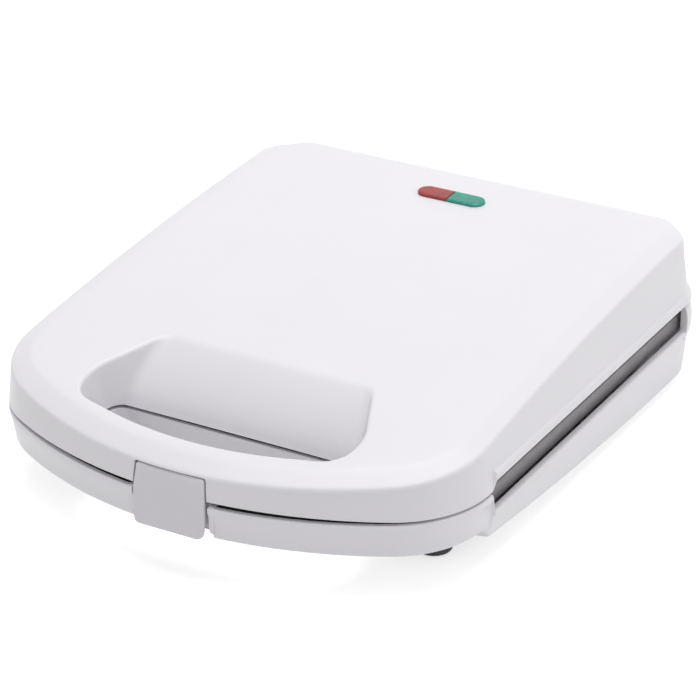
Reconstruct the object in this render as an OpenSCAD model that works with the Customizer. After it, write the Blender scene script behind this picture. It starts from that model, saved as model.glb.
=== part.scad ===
// Countertop sandwich toaster for four slices, closed, standing on its feet.
// X runs across the front, Y from the front to the hinge, Z up.

/* [Body outline] */
// Half width of both shells at the parting line
half_w = 126.5; // [118:0.5:135]
// Depth from the front wall to the back wall
body_d = 313.5; // [300:0.5:330]
// Radius of the curved front
front_r = 205; // [190:1:260]
// Radius of the two front corners
corner_r = 52; // [40:1:60]
// Radius of the two back corners
rear_r = 24; // [20:1:34]
// Wall of both shells
wall = 2.5; // [2:0.1:3]

/* [Lid] */
// Height of the lid's shoulder at the front
lid_front_h = 13; // [12:0.5:20]
// Height of the lid's shoulder at the back
lid_back_h = 40.5; // [38:0.5:50]
// How far the shoulder bows above a straight line
lid_bow = 6.4; // [4:0.2:10]
// Rise of the bevel between shoulder and top
lid_crown = 3.75; // [3:0.25:6]
// Width of the bevel seen from above
bevel_w = 10.5; // [8:0.5:14]
// How far the lid's wall leans in at its back shoulder
lid_draft = 3.2; // [1.5:0.1:4]
// How much further the lid's back corners lean in
rear_lean = 3.7; // [0:0.1:5]
// Height of the lip along the lid's rim
lip_h = 4.7; // [3:0.1:6]
// How far that lip stands out
lip_out = 1.6; // [0.6:0.05:1.8]

/* [Base] */
// Depth of the base's grip at the front
grip_h = 19.25; // [17:0.25:22]
// Depth of the belly's edge, were it run out to the front
belly_front_h = 16.5; // [15:0.5:20]
// Depth of the belly's edge at the back
belly_back_h = 36.8; // [34:0.1:38]
// How far the belly's edge bows below a straight line
belly_bow = 5.9; // [4:0.1:8]
// Where the belly begins behind the grip
belly_y = 69; // [66:1:72]
// How far the base's wall leans in at its foot
base_draft = 2.2; // [1:0.1:4]
// How far the underside bulges below the belly's edge
base_crown = 1.5; // [1:0.25:2]
// Height of the bead along the base's rim
bead_h = 2.6; // [2:0.1:3]
// How far that bead stands out
bead_out = 0.6; // [0.3:0.1:0.9]

/* [Gap between the shells] */
// Front end of the gap in both sides
side_gap_y = 74; // [72:0.5:76]
// Height of the lid's rim above the parting line at the sides
lid_side_rim = 5.75; // [3:0.25:8]
// Depth of the base's rim below the parting line at the sides
base_side_rim = 9.75; // [6:0.25:11]
// Depth of the base's rim below the parting line at the back
base_back_rim = 13.5; // [13:0.5:16]
// Half the gap between the grips where they meet the corners
seam = 0.4; // [0.3:0.05:0.6]
// Extra half gap at the middle of the front
seam_open = 0.8; // [0:0.1:1.2]

/* [Hand hole] */
// Front edge of the hole in the lid's top, from the front wall
hand_front = 17.6; // [16:0.2:22]
// Back edge of the recess in the lid's top
hand_top_back = 90; // [84:1:94]
// Back edge of the hole at the parting line
hand_back = 62.5; // [58:0.5:64]
// Back edge of the hole at the underside of the base
hand_low_back = 75; // [70:1:78]
// Width of each grip beside the hole at the parting line
hand_side = 57; // [54:0.5:62]

/* [Plates] */
// Margin between the cooking plates and the body's side
plate_side = 4.4; // [4:0.1:6]
// Front edge of the cooking plates
plate_y0 = 76; // [75.5:0.1:78]
// Margin between the cooking plates and the body's back
plate_back = 22.5; // [22:0.5:30]
// Depth of the joint between the plates below the parting line
plate_seam = 1.6; // [1:0.1:2]
// Gap between the closed plates
plate_gap = 0.3; // [0.2:0.05:0.6]
// Depth of the skirt round each plate
skirt_h = 9; // [7:0.5:9]
// Thickness of the plate's flange and skirt
plate_t = 2.5; // [2:0.1:3]
// Margin between the cells and the plate's side
cell_side = 9.1; // [8:0.1:12]
// Margin between the cells and the plate's front and back
cell_end = 7.75; // [6:0.25:12]
// Width of the rib between two cells
rib_w = 9; // [8:0.5:12]
// Width of the sealing ridge on the diagonal
ridge_w = 5; // [3:0.5:8]
// Depth of the pockets
pocket_h = 9.5; // [7:0.5:10]
// Draft angle of the pockets' walls
pocket_draft = 22; // [10:1:30]

/* [Heating] */
// Diameter of the tubular element
element_d = 6; // [5:0.5:6.5]
// Bend radius of the element's corners
bend_r = 25; // [15:1:30]
// Margin between the element's loop and the plate's side
loop_side = 52; // [45:1:65]
// Margin between the element's loop and the plate's back
loop_back = 52.5; // [50:0.5:60]
// Thickness of the reflector's sheet
sheet_t = 0.6; // [0.5:0.1:0.8]
// Margin between the reflector and the plate's side
tray_side = 24; // [22:1:35]
// Margin between the reflector and the plate's back
tray_back = 27.5; // [27:0.5:32]

/* [Hinge] */
// Distance of the hinge axis from the back wall
hinge_back = 13; // [12:0.5:14]
// Height of the hinge axis above the parting line
hinge_z = 2; // [1:0.5:3]
// Radius of the hinge barrel
barrel_r = 5.5; // [5:0.1:6]
// Radius of the hinge pins
pin_r = 2; // [1.6:0.1:2.4]
// Radial clearance of a turning fit
run_fit = 0.05; // [0.02:0.01:0.08]
// Radial clearance of a held pin or screw
held_fit = 0.02; // [0:0.01:0.04]
// Distance of the middle barrel's ends from the body's side
barrel_side = 42.5; // [40:0.5:50]
// Length of one lid knuckle
knuckle_l = 12; // [10:0.5:14]
// Length of the outer lug
lug_l = 7; // [6:0.5:8]
// Side clearance of each knuckle
knuckle_gap = 0.7; // [0.4:0.1:1]

/* [Latch] */
// Width of the latch
latch_w = 37.8; // [34:0.2:44]
// Thickness of the latch's face
latch_t = 2.4; // [2:0.1:3]
// How far the latch's face stands out of the front wall
latch_out = 1.8; // [1.4:0.1:2]
// How far the latch's top lies behind its face
latch_lean = 2.7; // [2.4:0.1:3]
// How much narrower each side of the latch is at its top
latch_taper = 0.9; // [0.5:0.1:1.2]
// Top of the latch above the parting line
latch_top = 11.6; // [11:0.1:11.7]
// Bottom of the latch's lip below the parting line
latch_bottom = 18; // [17.8:0.2:19]
// Side clearance of the latch in its notch
latch_gap = 0.9; // [0.6:0.1:1]
// Side clearance of the latch in the base
latch_base_gap = 1.3; // [1:0.1:1.6]
// How far the latch's lip kicks out at its bottom
lip_kick = 0.7; // [0.5:0.1:1]
// Distance of the latch's pivot from the front wall
pivot_y = 4.7; // [4.6:0.1:4.8]
// Height of the latch's pivot above the parting line
pivot_z = 8; // [7.8:0.1:8.1]
// Radius of the latch's pin
latch_pin_r = 1.1; // [1:0.05:1.2]
// Front face of the wall that the latch hooks under
catch_y = 5.6; // [5.4:0.1:6]
// Bottom edge of that wall below the parting line
catch_z = 14.8; // [14.4:0.1:15]
// Gap between the hook and that wall
catch_gap = 0.3; // [0.2:0.05:0.5]

/* [Lamps] */
// Length of the pair of lenses
lens_l = 38; // [34:1:44]
// Width of the lenses
lens_w = 11.4; // [10:0.2:13]
// How far the lenses stand out of the lid
lens_out = 1.7; // [1:0.1:2.5]
// Distance of the lenses from the back wall
lens_back = 41; // [38:0.5:50]
// Radius of the neon lamps
neon_r = 3; // [2.5:0.1:3.2]

/* [Feet and inlet] */
// Height of the parting line above the table
stand_h = 41; // [41:0.5:44]
// Radius of the feet
foot_r = 9; // [7:0.5:10]
// Distance of the front feet from the body's side
front_foot_side = 33; // [30:1:37]
// Distance of the front feet from the front wall
front_foot_y = 80; // [79:1:84]
// Distance of the rear feet from the body's side
rear_foot_side = 33; // [30:1:45]
// Distance of the rear feet from the back wall
rear_foot_back = 30; // [27:1:40]
// Depth of the front feet's seats below the parting line
front_seat = 30; // [29.5:0.5:33]
// Depth of the rear feet's seats below the parting line
rear_seat = 39; // [38.4:0.1:39.4]
// Radius of the opening for the mains lead
inlet_r = 3.6; // [3.2:0.1:4]
// Depth of the inlet below the parting line
inlet_z = 25; // [24.5:0.5:26]

/* [Hidden] */
$fn = 48;
shell_fn = 20;
front_fn = 480;

white = [0.93, 0.93, 0.94];
coating = [0.27, 0.26, 0.27];
cover_grey = [0.28, 0.28, 0.29];
steel = [0.72, 0.73, 0.74];
slack = 0.1;
past = 1;
far = 60;

// Places that follow the body's outline
hand_half = half_w - hand_side;
plate_half_w = half_w - plate_side;
plate_y1 = body_d - plate_back;
cell_w = plate_half_w - rib_w / 2 - cell_side;
cell_l = (plate_y1 - plate_y0 - rib_w) / 2 - cell_end;
hinge_y = body_d - hinge_back;
barrel_half_l = half_w - barrel_side;
lens_y = body_d - lens_back;
front_foot_x = half_w - front_foot_side;
rear_foot_x = half_w - rear_foot_side;
rear_foot_y = body_d - rear_foot_back;

// The finished part stands with its box centred over the origin.
lip_round = 0.8;
front_reach = latch_out + lip_kick;
back_reach = body_d + lip_out - lid_draft * (lid_side_rim + lip_round) / lid_back_h;
centre_y = (back_reach - front_reach) / 2;

// Middle of the front corner arc, tangent to the front arc and to the straight side
corner_x = half_w - corner_r;
corner_y = front_r - sqrt(pow(front_r - corner_r, 2) - pow(corner_x, 2));
front_end = -acos(corner_x / (front_r - corner_r));
rear_x = half_w - rear_r;
rear_y = body_d - rear_r;

front_steps = 7;
corner_steps = 8;
rear_angles = [8, 20, 32, 44, 56, 68, 79, 90];
belly_run = 9;
side_ys = concat(
    [for (i = [1:5]) belly_y + 1 + i * belly_run / 5],
    [for (i = [1:6]) belly_y + 10 + i * (rear_y - belly_y - 10) / 6]
);

// Each station is a point of the outline at the parting line with its inward normal.
function arc_station(cx, cy, r, a) = [cx + r * cos(a), cy + r * sin(a), -cos(a), -sin(a)];
right_stations = concat(
    [for (i = [0:front_steps]) arc_station(0, front_r, front_r,
        -90 + i * (front_end + 90) / front_steps)],
    [for (i = [1:corner_steps]) arc_station(corner_x, corner_y, corner_r,
        front_end * (1 - i / corner_steps))],
    [for (y = side_ys) [half_w, y, -1, 0]],
    [for (a = rear_angles) arc_station(rear_x, rear_y, rear_r, a)]
);
half_n = len(right_stations);
ring_n = 2 * half_n - 1;
function mirrored(s) = [-s[0], s[1], -s[2], s[3]];
stations = [for (i = [0:ring_n - 1])
    i < half_n ? right_stations[i] : mirrored(right_stations[ring_n - i])];

function mix(a, b, t) = a + (b - a) * t;
function clamp01(t) = min(1, max(0, t));
function ease(t) = let (c = clamp01(t)) c * c * (3 - 2 * c);
function at(s, d) = [s[0] + d * s[2], s[1] + d * s[3]];
function lifted(p, z) = [p[0], p[1], z];

// Heights that the two shells follow from front to back
function bowed(h0, h1, bow, y) = let (t = y / body_d) h0 + (h1 - h0) * t + 4 * bow * t * (1 - t);
function lid_z(y) = bowed(lid_front_h, lid_back_h, lid_bow, y);
function lid_slope(y) = atan((lid_back_h - lid_front_h + 4 * lid_bow * (1 - 2 * y / body_d)) / body_d);
function belly_z(y) = -bowed(belly_front_h, belly_back_h, belly_bow, y);
function base_z(y) = mix(-grip_h, belly_z(y), ease((y - belly_y) / belly_run));
function side_part(y) = ease((y - side_gap_y) / 2.5);
function seam_h(x) = seam + seam_open * max(0, 1 - pow(x / (half_w - 10), 2));
function lid_rim(p) = mix(seam_h(p[0]), lid_side_rim, side_part(p[1]));
function base_rim(p) = -mix(seam_h(p[0]) + seam, base_side_rim, side_part(p[1]));

// A closed skin over rings that share the outline's stations, from the lowest ring up
function strip(a, b, c, d) = [[a, b, c], [a, c, d]];
function side_faces(k) = [for (i = [0:ring_n - 1]) let (j = (i + 1) % ring_n, n = ring_n)
    each strip(k * n + i, (k + 1) * n + i, (k + 1) * n + j, k * n + j)];
function cap_faces(k) = [for (i = [0:half_n - 2]) let (o = k * ring_n, l = (ring_n - i) % ring_n)
    each (i == 0 ? [[o, o + ring_n - 1, o + 1]]
        : strip(o + i, o + l, o + l - 1, o + i + 1))];
function flipped(faces) = [for (f = faces) [f[2], f[1], f[0]]];
module skin(rings) {
    polyhedron(
        points = [for (r = rings) each r],
        faces = concat(
            [for (k = [0:len(rings) - 2]) each side_faces(k)],
            cap_faces(len(rings) - 1),
            flipped(cap_faces(0))
        )
    );
}

// How far the lid's wall leans in at its shoulder, most at the two back corners
function lean(s) = lid_draft * lid_z(s[1]) / lid_back_h + 2 * rear_lean * max(0, -s[3]) * abs(s[2]);

// Rings: every entry is [inset, height] worked out at each station.
function lid_top_ring(d, dz) = [for (s = stations) let (p = at(s, lean(s) + d))
    lifted(p, lid_z(p[1]) + dz)];
function lid_rim_ring(out, dz) = [for (s = stations) let (
    q = at(s, 0), d = (lid_rim(q) + dz) * lean(s) / lid_z(q[1]) - out * side_part(q[1]))
    lifted(at(s, d), lid_rim(q) + dz)];
function base_low_ring(d, dz) = [for (s = stations) let (p = at(s, d)) lifted(p, base_z(p[1]) + dz)];
function base_rim_ring(d, out, dz) = [for (s = stations) let (q = at(s, 0))
    lifted(at(s, d - out * mix(front_bead, 1, side_part(q[1]))), base_rim(q) + dz)];
front_bead = 0.35;

round_r = 1.8;
module lid_outer() {
    skin([
        lid_rim_ring(lip_out - 0.4, 0),
        lid_rim_ring(lip_out, lip_round),
        lid_rim_ring(lip_out, lip_h - 0.9),
        lid_rim_ring(0, lip_h),
        lid_top_ring(0, -round_r),
        lid_top_ring(0.5, -0.4),
        lid_top_ring(round_r, 0.35),
        lid_top_ring(bevel_w - 2, lid_crown - 0.6),
        lid_top_ring(bevel_w + 2, lid_crown)
    ]);
}
module lid_inner() {
    skin([
        [for (s = stations) lifted(at(s, wall), -far)],
        [for (s = stations) lifted(at(s, wall), lid_rim(at(s, 0)))],
        lid_top_ring(wall, -round_r - 1),
        lid_top_ring(wall + round_r, -wall + 0.35),
        lid_top_ring(bevel_w + 2, lid_crown - wall)
    ]);
}
module base_outer() {
    skin([
        base_low_ring(base_draft + 14, -base_crown),
        base_low_ring(base_draft + 3.5, 0),
        base_low_ring(base_draft + 1, 1.2),
        base_low_ring(base_draft, 3.5),
        base_rim_ring(0.4, 0, -bead_h - 0.8),
        base_rim_ring(0, bead_out, -bead_h),
        base_rim_ring(0, bead_out, -0.7),
        base_rim_ring(0.2, 0, 0)
    ]);
}
module base_inner() {
    skin([
        base_low_ring(base_draft + 14, wall - base_crown),
        base_low_ring(base_draft + wall + 2, wall),
        base_low_ring(base_draft + wall, wall + 2.5),
        base_rim_ring(wall, 0, 0),
        [for (s = stations) lifted(at(s, wall), far)]
    ]);
}

// Hand hole: outlines of its section, wide at the top, worked out level by level
hand_levels = 6;
function toward(p, q, l) = p + (q - p) * (l / norm(q - p));
function corner_arc(p, q, r, cut) = [for (i = [0:4]) let (t = i / 4,
    a = toward(q, p, cut), b = toward(q, r, cut))
    a * pow(1 - t, 2) + q * 2 * t * (1 - t) + b * pow(t, 2)];
function hand_section(front, v1, v2, v3, cuts) = let (
    rf = front_r - front,
    xs = [0, 18, 36, 52],
    arc = [for (x = xs) [x, front_r - sqrt(rf * rf - x * x)]],
    back = [0, v3[1]],
    half = concat(arc, corner_arc(arc[3], v1, v2, cuts[0]), corner_arc(v1, v2, v3, cuts[1]),
        corner_arc(v2, v3, back, cuts[2])))
    concat(half, [for (i = [len(half) - 1:-1:1]) [-half[i][0], half[i][1]]]);
function hand_hole(t, g, top) = let (
    front = mix(hand_front + 2.4, top ? hand_front : hand_front + 0.9, t) - g,
    wide = mix(hand_half, top ? hand_half + 3.3 : hand_half - 2, t) + g,
    back = mix(hand_back, top ? hand_top_back : hand_low_back, top ? pow(t, 1.6) : t) + g)
    hand_section(front,
        [wide + (top ? 1.2 * t : 0), 30 + t - g],
        [wide, mix(hand_back - 5.5, top ? 52 : hand_low_back - 9, t) + g / 2],
        [mix(hand_half - 3.5, top ? 56.5 : hand_half - 5.5, t) + g * 0.8, back],
        [14, mix(3, top ? 8 : 4, t), mix(3, top ? 6 : 4, t)]);
module hand_tool(g, top, height) {
    for (i = [0:hand_levels - 1])
        hull()
            for (k = [i, i + 1])
                translate([0, 0, (top ? 1 : -1) * height * k / hand_levels - (top ? 0 : 0.01)])
                    linear_extrude(0.01) polygon(hand_hole(k / hand_levels, g, top));
}
hand_up = 30.6;
hand_down = 25;
module hand_void(top) {
    hand_tool(0, top, top ? hand_up : hand_down);
    translate([0, 0, top ? hand_up : -hand_down - far])
        linear_extrude(far) polygon(hand_hole(1, 0, top));
    translate([0, 0, -past * 2]) linear_extrude(past * 4) polygon(hand_hole(0, 0, top));
}
module hand_wall(top) {
    hand_tool(wall, top, top ? hand_up : hand_down);
    translate([0, 0, top ? hand_up : -hand_down - far])
        linear_extrude(far) polygon(hand_hole(1, wall, top));
}

module at_frame() {
    translate([0, -centre_y, stand_h]) children();
}
module box(x0, x1, y0, y1, z0, z1) {
    translate([x0, y0, z0]) cube([x1 - x0, y1 - y0, z1 - z0]);
}
module both() {
    children();
    mirror([1, 0, 0]) children();
}
module along_x(x0, x1) {
    translate([x0, 0, 0]) rotate([90, 0, 90]) linear_extrude(x1 - x0) children();
}
module rod_x(x0, x1, y, z, r) {
    translate([x0, y, z]) rotate([0, 90, 0]) cylinder(h = x1 - x0, r = r);
}

// Screws: a pan or countersunk head on a plain shank
module screw(r, length, head_r, head_h) {
    translate([0, 0, -length]) cylinder(h = length, r = r);
    difference() {
        cylinder(h = head_h, r1 = head_r, r2 = head_r * 0.8);
        translate([0, 0, head_h * 0.5]) cube([head_r * 1.3, 0.8, head_h * 1.1], center = true);
        translate([0, 0, head_h * 0.5]) cube([0.8, head_r * 1.3, head_h * 1.1], center = true);
    }
}
module flat_screw(r, length, head_r, head_h) {
    translate([0, 0, -length]) cylinder(h = length - head_h, r = r);
    difference() {
        translate([0, 0, -head_h]) cylinder(h = head_h, r1 = r, r2 = head_r);
        cube([head_r * 1.3, 0.8, head_h], center = true);
        cube([0.8, head_r * 1.3, head_h], center = true);
    }
}
screw_r = 1.5;
screw_head_r = 2.9;
screw_head_h = 1.8;

// Places of the screws that hold each plate: three on the middle rib and one at each side
plate_mid = (plate_y0 + plate_y1) / 2;
rim_mid = (cell_w + rib_w / 2 + plate_half_w) / 2;
plate_screws = [
    [0, plate_y0 + 14], [0, plate_mid], [0, plate_y1 - 36],
    [rim_mid - 1, plate_mid], [1 - rim_mid, plate_mid]
];
boss_r = 3.9;
plate_under = plate_seam + pocket_h + plate_t;
upper_face = plate_gap - plate_seam;
upper_under = upper_face + pocket_h + plate_t;
screw_l = 12;

latch_barrel_r = 2.4;
notch_back = pivot_y + latch_barrel_r + 0.8;
cover_t = 2;
cover_screw_x = hand_half + 18.5;
cover_screws = [[-cover_screw_x, 34], [cover_screw_x, 34], [-45, 13.4], [45, 13.4]];
cover_boss_r = 3.4;
cover_screw_l = 8;

foot_stem_r = 2.6;
foot_seat_r = foot_r + 1.2;

// Hinge: the middle barrel, one lid knuckle and one outer lug on each side
knuckle_x0 = barrel_half_l + knuckle_gap;
knuckle_x1 = knuckle_x0 + knuckle_l;
lug_x0 = knuckle_x1 + knuckle_gap;
lug_x1 = lug_x0 + lug_l;
web_y0 = hinge_y - 7.5;
web_y1 = hinge_y - 2.5;
web_foot = -20;
housing_t = 3;
housing_screw_x = barrel_half_l - 18;
housing_screw_xs = [-housing_screw_x, 26 - housing_screw_x, housing_screw_x - 26, housing_screw_x];
housing_screw_y = web_y0 - 6;
ear_y0 = plate_y1 - 2;
ear_y1 = hinge_y + 0.6;
ear_top = lid_side_rim - 1.2;
arm_flange_z = 27;
arm_t = 2.5;
arm_y0 = hinge_y - 23;

module ear_solid() {
    // the base's wall carried up behind the gap, rounded and slightly proud
    intersection() {
        skin([
            [for (s = stations) lifted(at(s, 0.6), -base_side_rim - 6)],
            [for (s = stations) lifted(at(s, -0.9), -base_side_rim - 1)],
            [for (s = stations) lifted(at(s, -1.4), -base_side_rim + 3)],
            [for (s = stations) lifted(at(s, -1.1), ear_top - 5)],
            [for (s = stations) lifted(at(s, -0.2), ear_top - 1.8)],
            [for (s = stations) lifted(at(s, 1.1), ear_top)]
        ]);
        both() box(half_w - 22, half_w + 10, ear_y0, ear_y1, -base_side_rim - 7, far);
    }
}

module base_shell() color(white) at_frame() difference() {
    union() {
        difference() {
            union() {
                base_outer();
                ear_solid();
            }
            base_inner();
        }
        intersection() {
            hand_wall(false);
            base_outer();
            box(-half_w, half_w, 0, body_d, -far, -seam - 0.2);
        }
        // wall that the latch hooks under, with its two cheeks
        box(-latch_room - wall, latch_room + wall, catch_y - slack, catch_y + wall, -catch_z, -seam - 0.8);
        both() box(latch_room - slack, latch_room + wall, 1.9, catch_y + wall, -catch_z, -seam - 0.8);
        intersection() {
            base_outer();
            union() {
                for (p = plate_screws) translate([p[0], p[1], -far])
                    cylinder(h = far - plate_under - slack, r = boss_r, $fn = shell_fn);
                for (p = cover_screws) translate([p[0], p[1], -far])
                    cylinder(h = far - seam_open - seam - cover_t - slack * 6, r = cover_boss_r,
                        $fn = shell_fn);
                for (x = housing_screw_xs) translate([x, housing_screw_y, -far])
                    cylinder(h = far + web_foot, r = cover_boss_r, $fn = shell_fn);
                both() for (y = [tray_y0 + 6, tray_y0 + tray_l - 6])
                    translate([tray_half_w - 6, y, -far])
                        cylinder(h = far - tray_z - slack, r = 3, $fn = shell_fn);
                translate([0, plate_mid, -far])
                    cylinder(h = far - tray_z - slack, r = boss_r + 2, $fn = shell_fn);
            }
        }
        // flat pad that the inlet bush seats on
        translate([0, pad_face - pad_l, -inlet_z]) rotate([-90, 0, 0])
            cylinder(h = pad_l, r = bush_r + 2.2, $fn = shell_fn);
        both() {
            translate([front_foot_x, front_foot_y, -front_seat])
                cylinder(h = front_seat + belly_z(front_foot_y) + wall, r = foot_seat_r, $fn = shell_fn);
            translate([rear_foot_x, rear_foot_y, -rear_seat])
                cylinder(h = rear_seat + belly_z(rear_foot_y) + wall, r = foot_seat_r, $fn = shell_fn);
        }
    }
    hand_void(false);
    // room for the latch in the front wall, its lower corners flared
    translate([0, catch_y, 0]) rotate([90, 0, 0]) linear_extrude(far / 4) latch_room_plan();
    box(-latch_room, latch_room, -far / 10, catch_y + wall, -far, -catch_z);
    // the back edge is low enough for the lid's wall to swing down behind it
    box(-half_w - 5, half_w + 5, ear_y1, body_d + 5, -base_back_rim, far);
    for (p = plate_screws) translate([p[0], p[1], -plate_under - screw_l + 2])
        cylinder(h = screw_l, r = screw_r + held_fit, $fn = shell_fn);
    for (p = cover_screws) translate([p[0], p[1], -cover_screw_l - seam - seam_open - 1])
        cylinder(h = cover_screw_l + 5, r = screw_r + held_fit, $fn = shell_fn);
    for (x = housing_screw_xs) translate([x, housing_screw_y, web_foot - 9])
        cylinder(h = 10, r = screw_r + held_fit, $fn = shell_fn);
    both() {
        translate([front_foot_x, front_foot_y, -far])
            cylinder(h = far, r = foot_stem_r + slack, $fn = shell_fn);
        translate([rear_foot_x, rear_foot_y, -far])
            cylinder(h = far, r = foot_stem_r + slack, $fn = shell_fn);
    }
    // hole for the inlet bush
    translate([0, body_d - 10, -inlet_z]) rotate([-90, 0, 0])
        cylinder(h = far, r = bush_r + slack, $fn = shell_fn);
    // vents through the floor
    for (i = [0:vent_count - 1]) both()
        box(vent_x0 + i * vent_pitch, vent_x0 + i * vent_pitch + vent_w, vent_y0, vent_y0 + vent_l, -far,
            -24);
}
vent_count = 6;
vent_x0 = 24;
vent_pitch = 9;
vent_w = 3;
vent_y0 = body_d - 117.5;
vent_l = 34;
bush_r = 6.2;
latch_room = latch_w / 2 + latch_base_gap;
room_flare = 2.6;
room_flare_h = 7;
module latch_room_plan() {
    side = [for (i = [0:6]) [latch_room + room_flare * pow(i / 6, 1.4), room_flare_h * (1 - i / 6) - grip_h]];
    half = concat([[latch_room, past]], side, [[latch_room + room_flare, -far]]);
    polygon(concat(half, [for (i = [len(half) - 1:-1:0]) [-half[i][0], half[i][1]]]));
}
pad_face = body_d - 0.6;
pad_l = 6;

module lid_shell() color(white) at_frame() difference() {
    union() {
        difference() {
            lid_outer();
            lid_inner();
        }
        intersection() {
            hand_wall(true);
            lid_outer();
        }
        intersection() {
            lid_outer();
            union() {
                for (p = plate_screws) translate([p[0], p[1], upper_under + slack])
                    cylinder(h = far, r = boss_r, $fn = shell_fn);
                for (p = cover_screws) translate([p[0], p[1], seam_open + seam + cover_t + slack * 6])
                    cylinder(h = far, r = cover_boss_r, $fn = shell_fn);
                both() for (x = arm_screw_xs) translate([x, arm_screw_y, arm_flange_z + arm_t])
                    cylinder(h = far, r = cover_boss_r, $fn = shell_fn);
                both() for (y = [tray_y0 + 6, tray_y0 + tray_l - 6])
                    translate([tray_half_w - 6, y, upper_tray_z + slack])
                        cylinder(h = far, r = 3, $fn = shell_fn);
                translate([0, plate_mid, upper_tray_z + slack])
                    cylinder(h = far, r = boss_r + 2, $fn = shell_fn);
                both() translate([bracket_screw_x, bracket_screw_y, bracket_top])
                    cylinder(h = far, r = 2.6, $fn = shell_fn);
                both() box(lens_l / 2 + 3, lens_l / 2 + 5, lens_y - 7, lens_y + 7, holder_z, far);
            }
        }
    }
    hand_void(true);
    // notch for the latch, and the room above it that the latch's top swings through
    intersection() {
        along_front() polygon([
            [far / 10, -far], [far / 10, latch_top + notch_gap], [-notch_back, latch_top + notch_gap],
            [-notch_back, -far]
        ]);
        rotate([90, 0, 0]) linear_extrude(2 * far, center = true)
            latch_plan(latch_gap, latch_top + notch_gap, far);
    }
    intersection() {
        along_front() polygon([
            [-1.8, latch_top], [-2.6, latch_top + notch_rise], [-notch_back, latch_top + notch_rise],
            [-notch_back, latch_top]
        ]);
        box(-rise_half, rise_half, -far, far, 0, far);
    }
    for (p = plate_screws) translate([p[0], p[1], upper_under - 2])
        cylinder(h = screw_l, r = screw_r + held_fit, $fn = shell_fn);
    for (p = cover_screws) translate([p[0], p[1], -past])
        cylinder(h = cover_screw_l + 3.4, r = screw_r + held_fit, $fn = shell_fn);
    both() for (x = arm_screw_xs) translate([x, arm_screw_y, arm_flange_z])
        cylinder(h = arm_t + 7, r = screw_r + held_fit, $fn = shell_fn);
    both() translate([bracket_screw_x, bracket_screw_y, 0])
        cylinder(h = bracket_top + 5, r = bracket_screw_r + held_fit, $fn = shell_fn);
    // slot for the lenses
    lens_place() linear_extrude(2 * far, center = true)
        stadium(lens_l - 2 * lens_lip, lens_w - 2 * lens_lip);
}

// Grip covers close the two hollow grips along the parting line.
cover_fit = 1.2;
function grip_outline() = [for (s = stations) at(s, wall + cover_fit)];
cover_level = (seam + seam_open + 0.4 + cover_t) / hand_down;
module cover_plan(top) {
    difference() {
        intersection() {
            polygon(grip_outline());
            translate([-half_w, -past]) square([2 * half_w, plate_y0 - 1.5 + past]);
        }
        for (t = [0, cover_level]) polygon(hand_hole(t, wall + 0.6, top));
        translate([-latch_room - wall - 0.5, -past])
            square([2 * (latch_room + wall + 0.5), catch_y + wall + 0.5 + past]);
    }
}
cover_face = seam + seam_open + 0.4;
module base_grip_cover() color(cover_grey) at_frame() difference() {
    translate([0, 0, -cover_face - cover_t]) linear_extrude(cover_t) cover_plan(false);
    for (p = cover_screws) translate([p[0], p[1], -far]) cylinder(h = 2 * far, r = screw_r + slack);
}
module lid_grip_cover() color(cover_grey) at_frame() difference() {
    translate([0, 0, cover_face]) linear_extrude(cover_t) difference() {
        cover_plan(true);
        translate([-bracket_half - 0.5, -past]) square([2 * bracket_half + 1, bracket_back + 0.5 + past]);
    }
    for (p = cover_screws) translate([p[0], p[1], -far]) cylinder(h = 2 * far, r = screw_r + slack);
}
module base_cover_screws() color(steel) at_frame()
    for (p = cover_screws) translate([p[0], p[1], -cover_face]) screw(screw_r, cover_screw_l, 2.6, 0.9);
module lid_cover_screws() color(steel) at_frame()
    for (p = cover_screws) translate([p[0], p[1], cover_face]) mirror([0, 0, 1])
        screw(screw_r, cover_screw_l, 2.6, 0.9);

// Cooking plates: a flange with a skirt, and a block with eight triangular pockets
function incentre(a, b, c) = let (la = norm(b - c), lb = norm(a - c), lc = norm(a - b))
    (a * la + b * lb + c * lc) / (la + lb + lc);
function inradius(a, b, c) = let (la = norm(b - c), lb = norm(a - c), lc = norm(a - b),
    s = (la + lb + lc) / 2) sqrt((s - la) * (s - lb) * (s - lc) / s);
module pocket_cut() {
    // one triangular pocket in a corner of a cell, its long side along the diagonal
    shift = ridge_w / 2 * norm([cell_w, cell_l]);
    a = [-cell_w / 2, -cell_l / 2];
    b = [cell_w / 2 - shift / cell_l, -cell_l / 2];
    c = [-cell_w / 2, cell_l / 2 - shift / cell_w];
    m = incentre(a, b, c);
    k = 1 - pocket_h * tan(pocket_draft) / inradius(a, b, c);
    translate([m[0], m[1], 0]) mirror([0, 0, 1]) linear_extrude(pocket_h, scale = k)
        polygon(concat(
            corner_arc(c - m, a - m, b - m, 7),
            corner_arc(a - m, b - m, c - m, 12),
            corner_arc(b - m, c - m, a - m, 12)
        ));
}
module round_rect(x, y0, y1, r) {
    polygon(concat(
        [for (i = [0:6]) [x - r + r * cos(-90 + 15 * i), y0 + r + r * sin(-90 + 15 * i)]],
        [for (i = [0:6]) [x - r + r * cos(15 * i), y1 - r + r * sin(15 * i)]],
        [for (i = [0:6]) [-x + r + r * cos(90 + 15 * i), y1 - r + r * sin(90 + 15 * i)]],
        [for (i = [0:6]) [-x + r + r * cos(180 + 15 * i), y0 + r + r * sin(180 + 15 * i)]]
    ));
}
plate_corner = 3;
block_x = cell_w + rib_w / 2 + plate_t;
block_y0 = plate_mid - rib_w / 2 - cell_l - plate_t;
block_y1 = plate_mid + rib_w / 2 + cell_l + plate_t;
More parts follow.
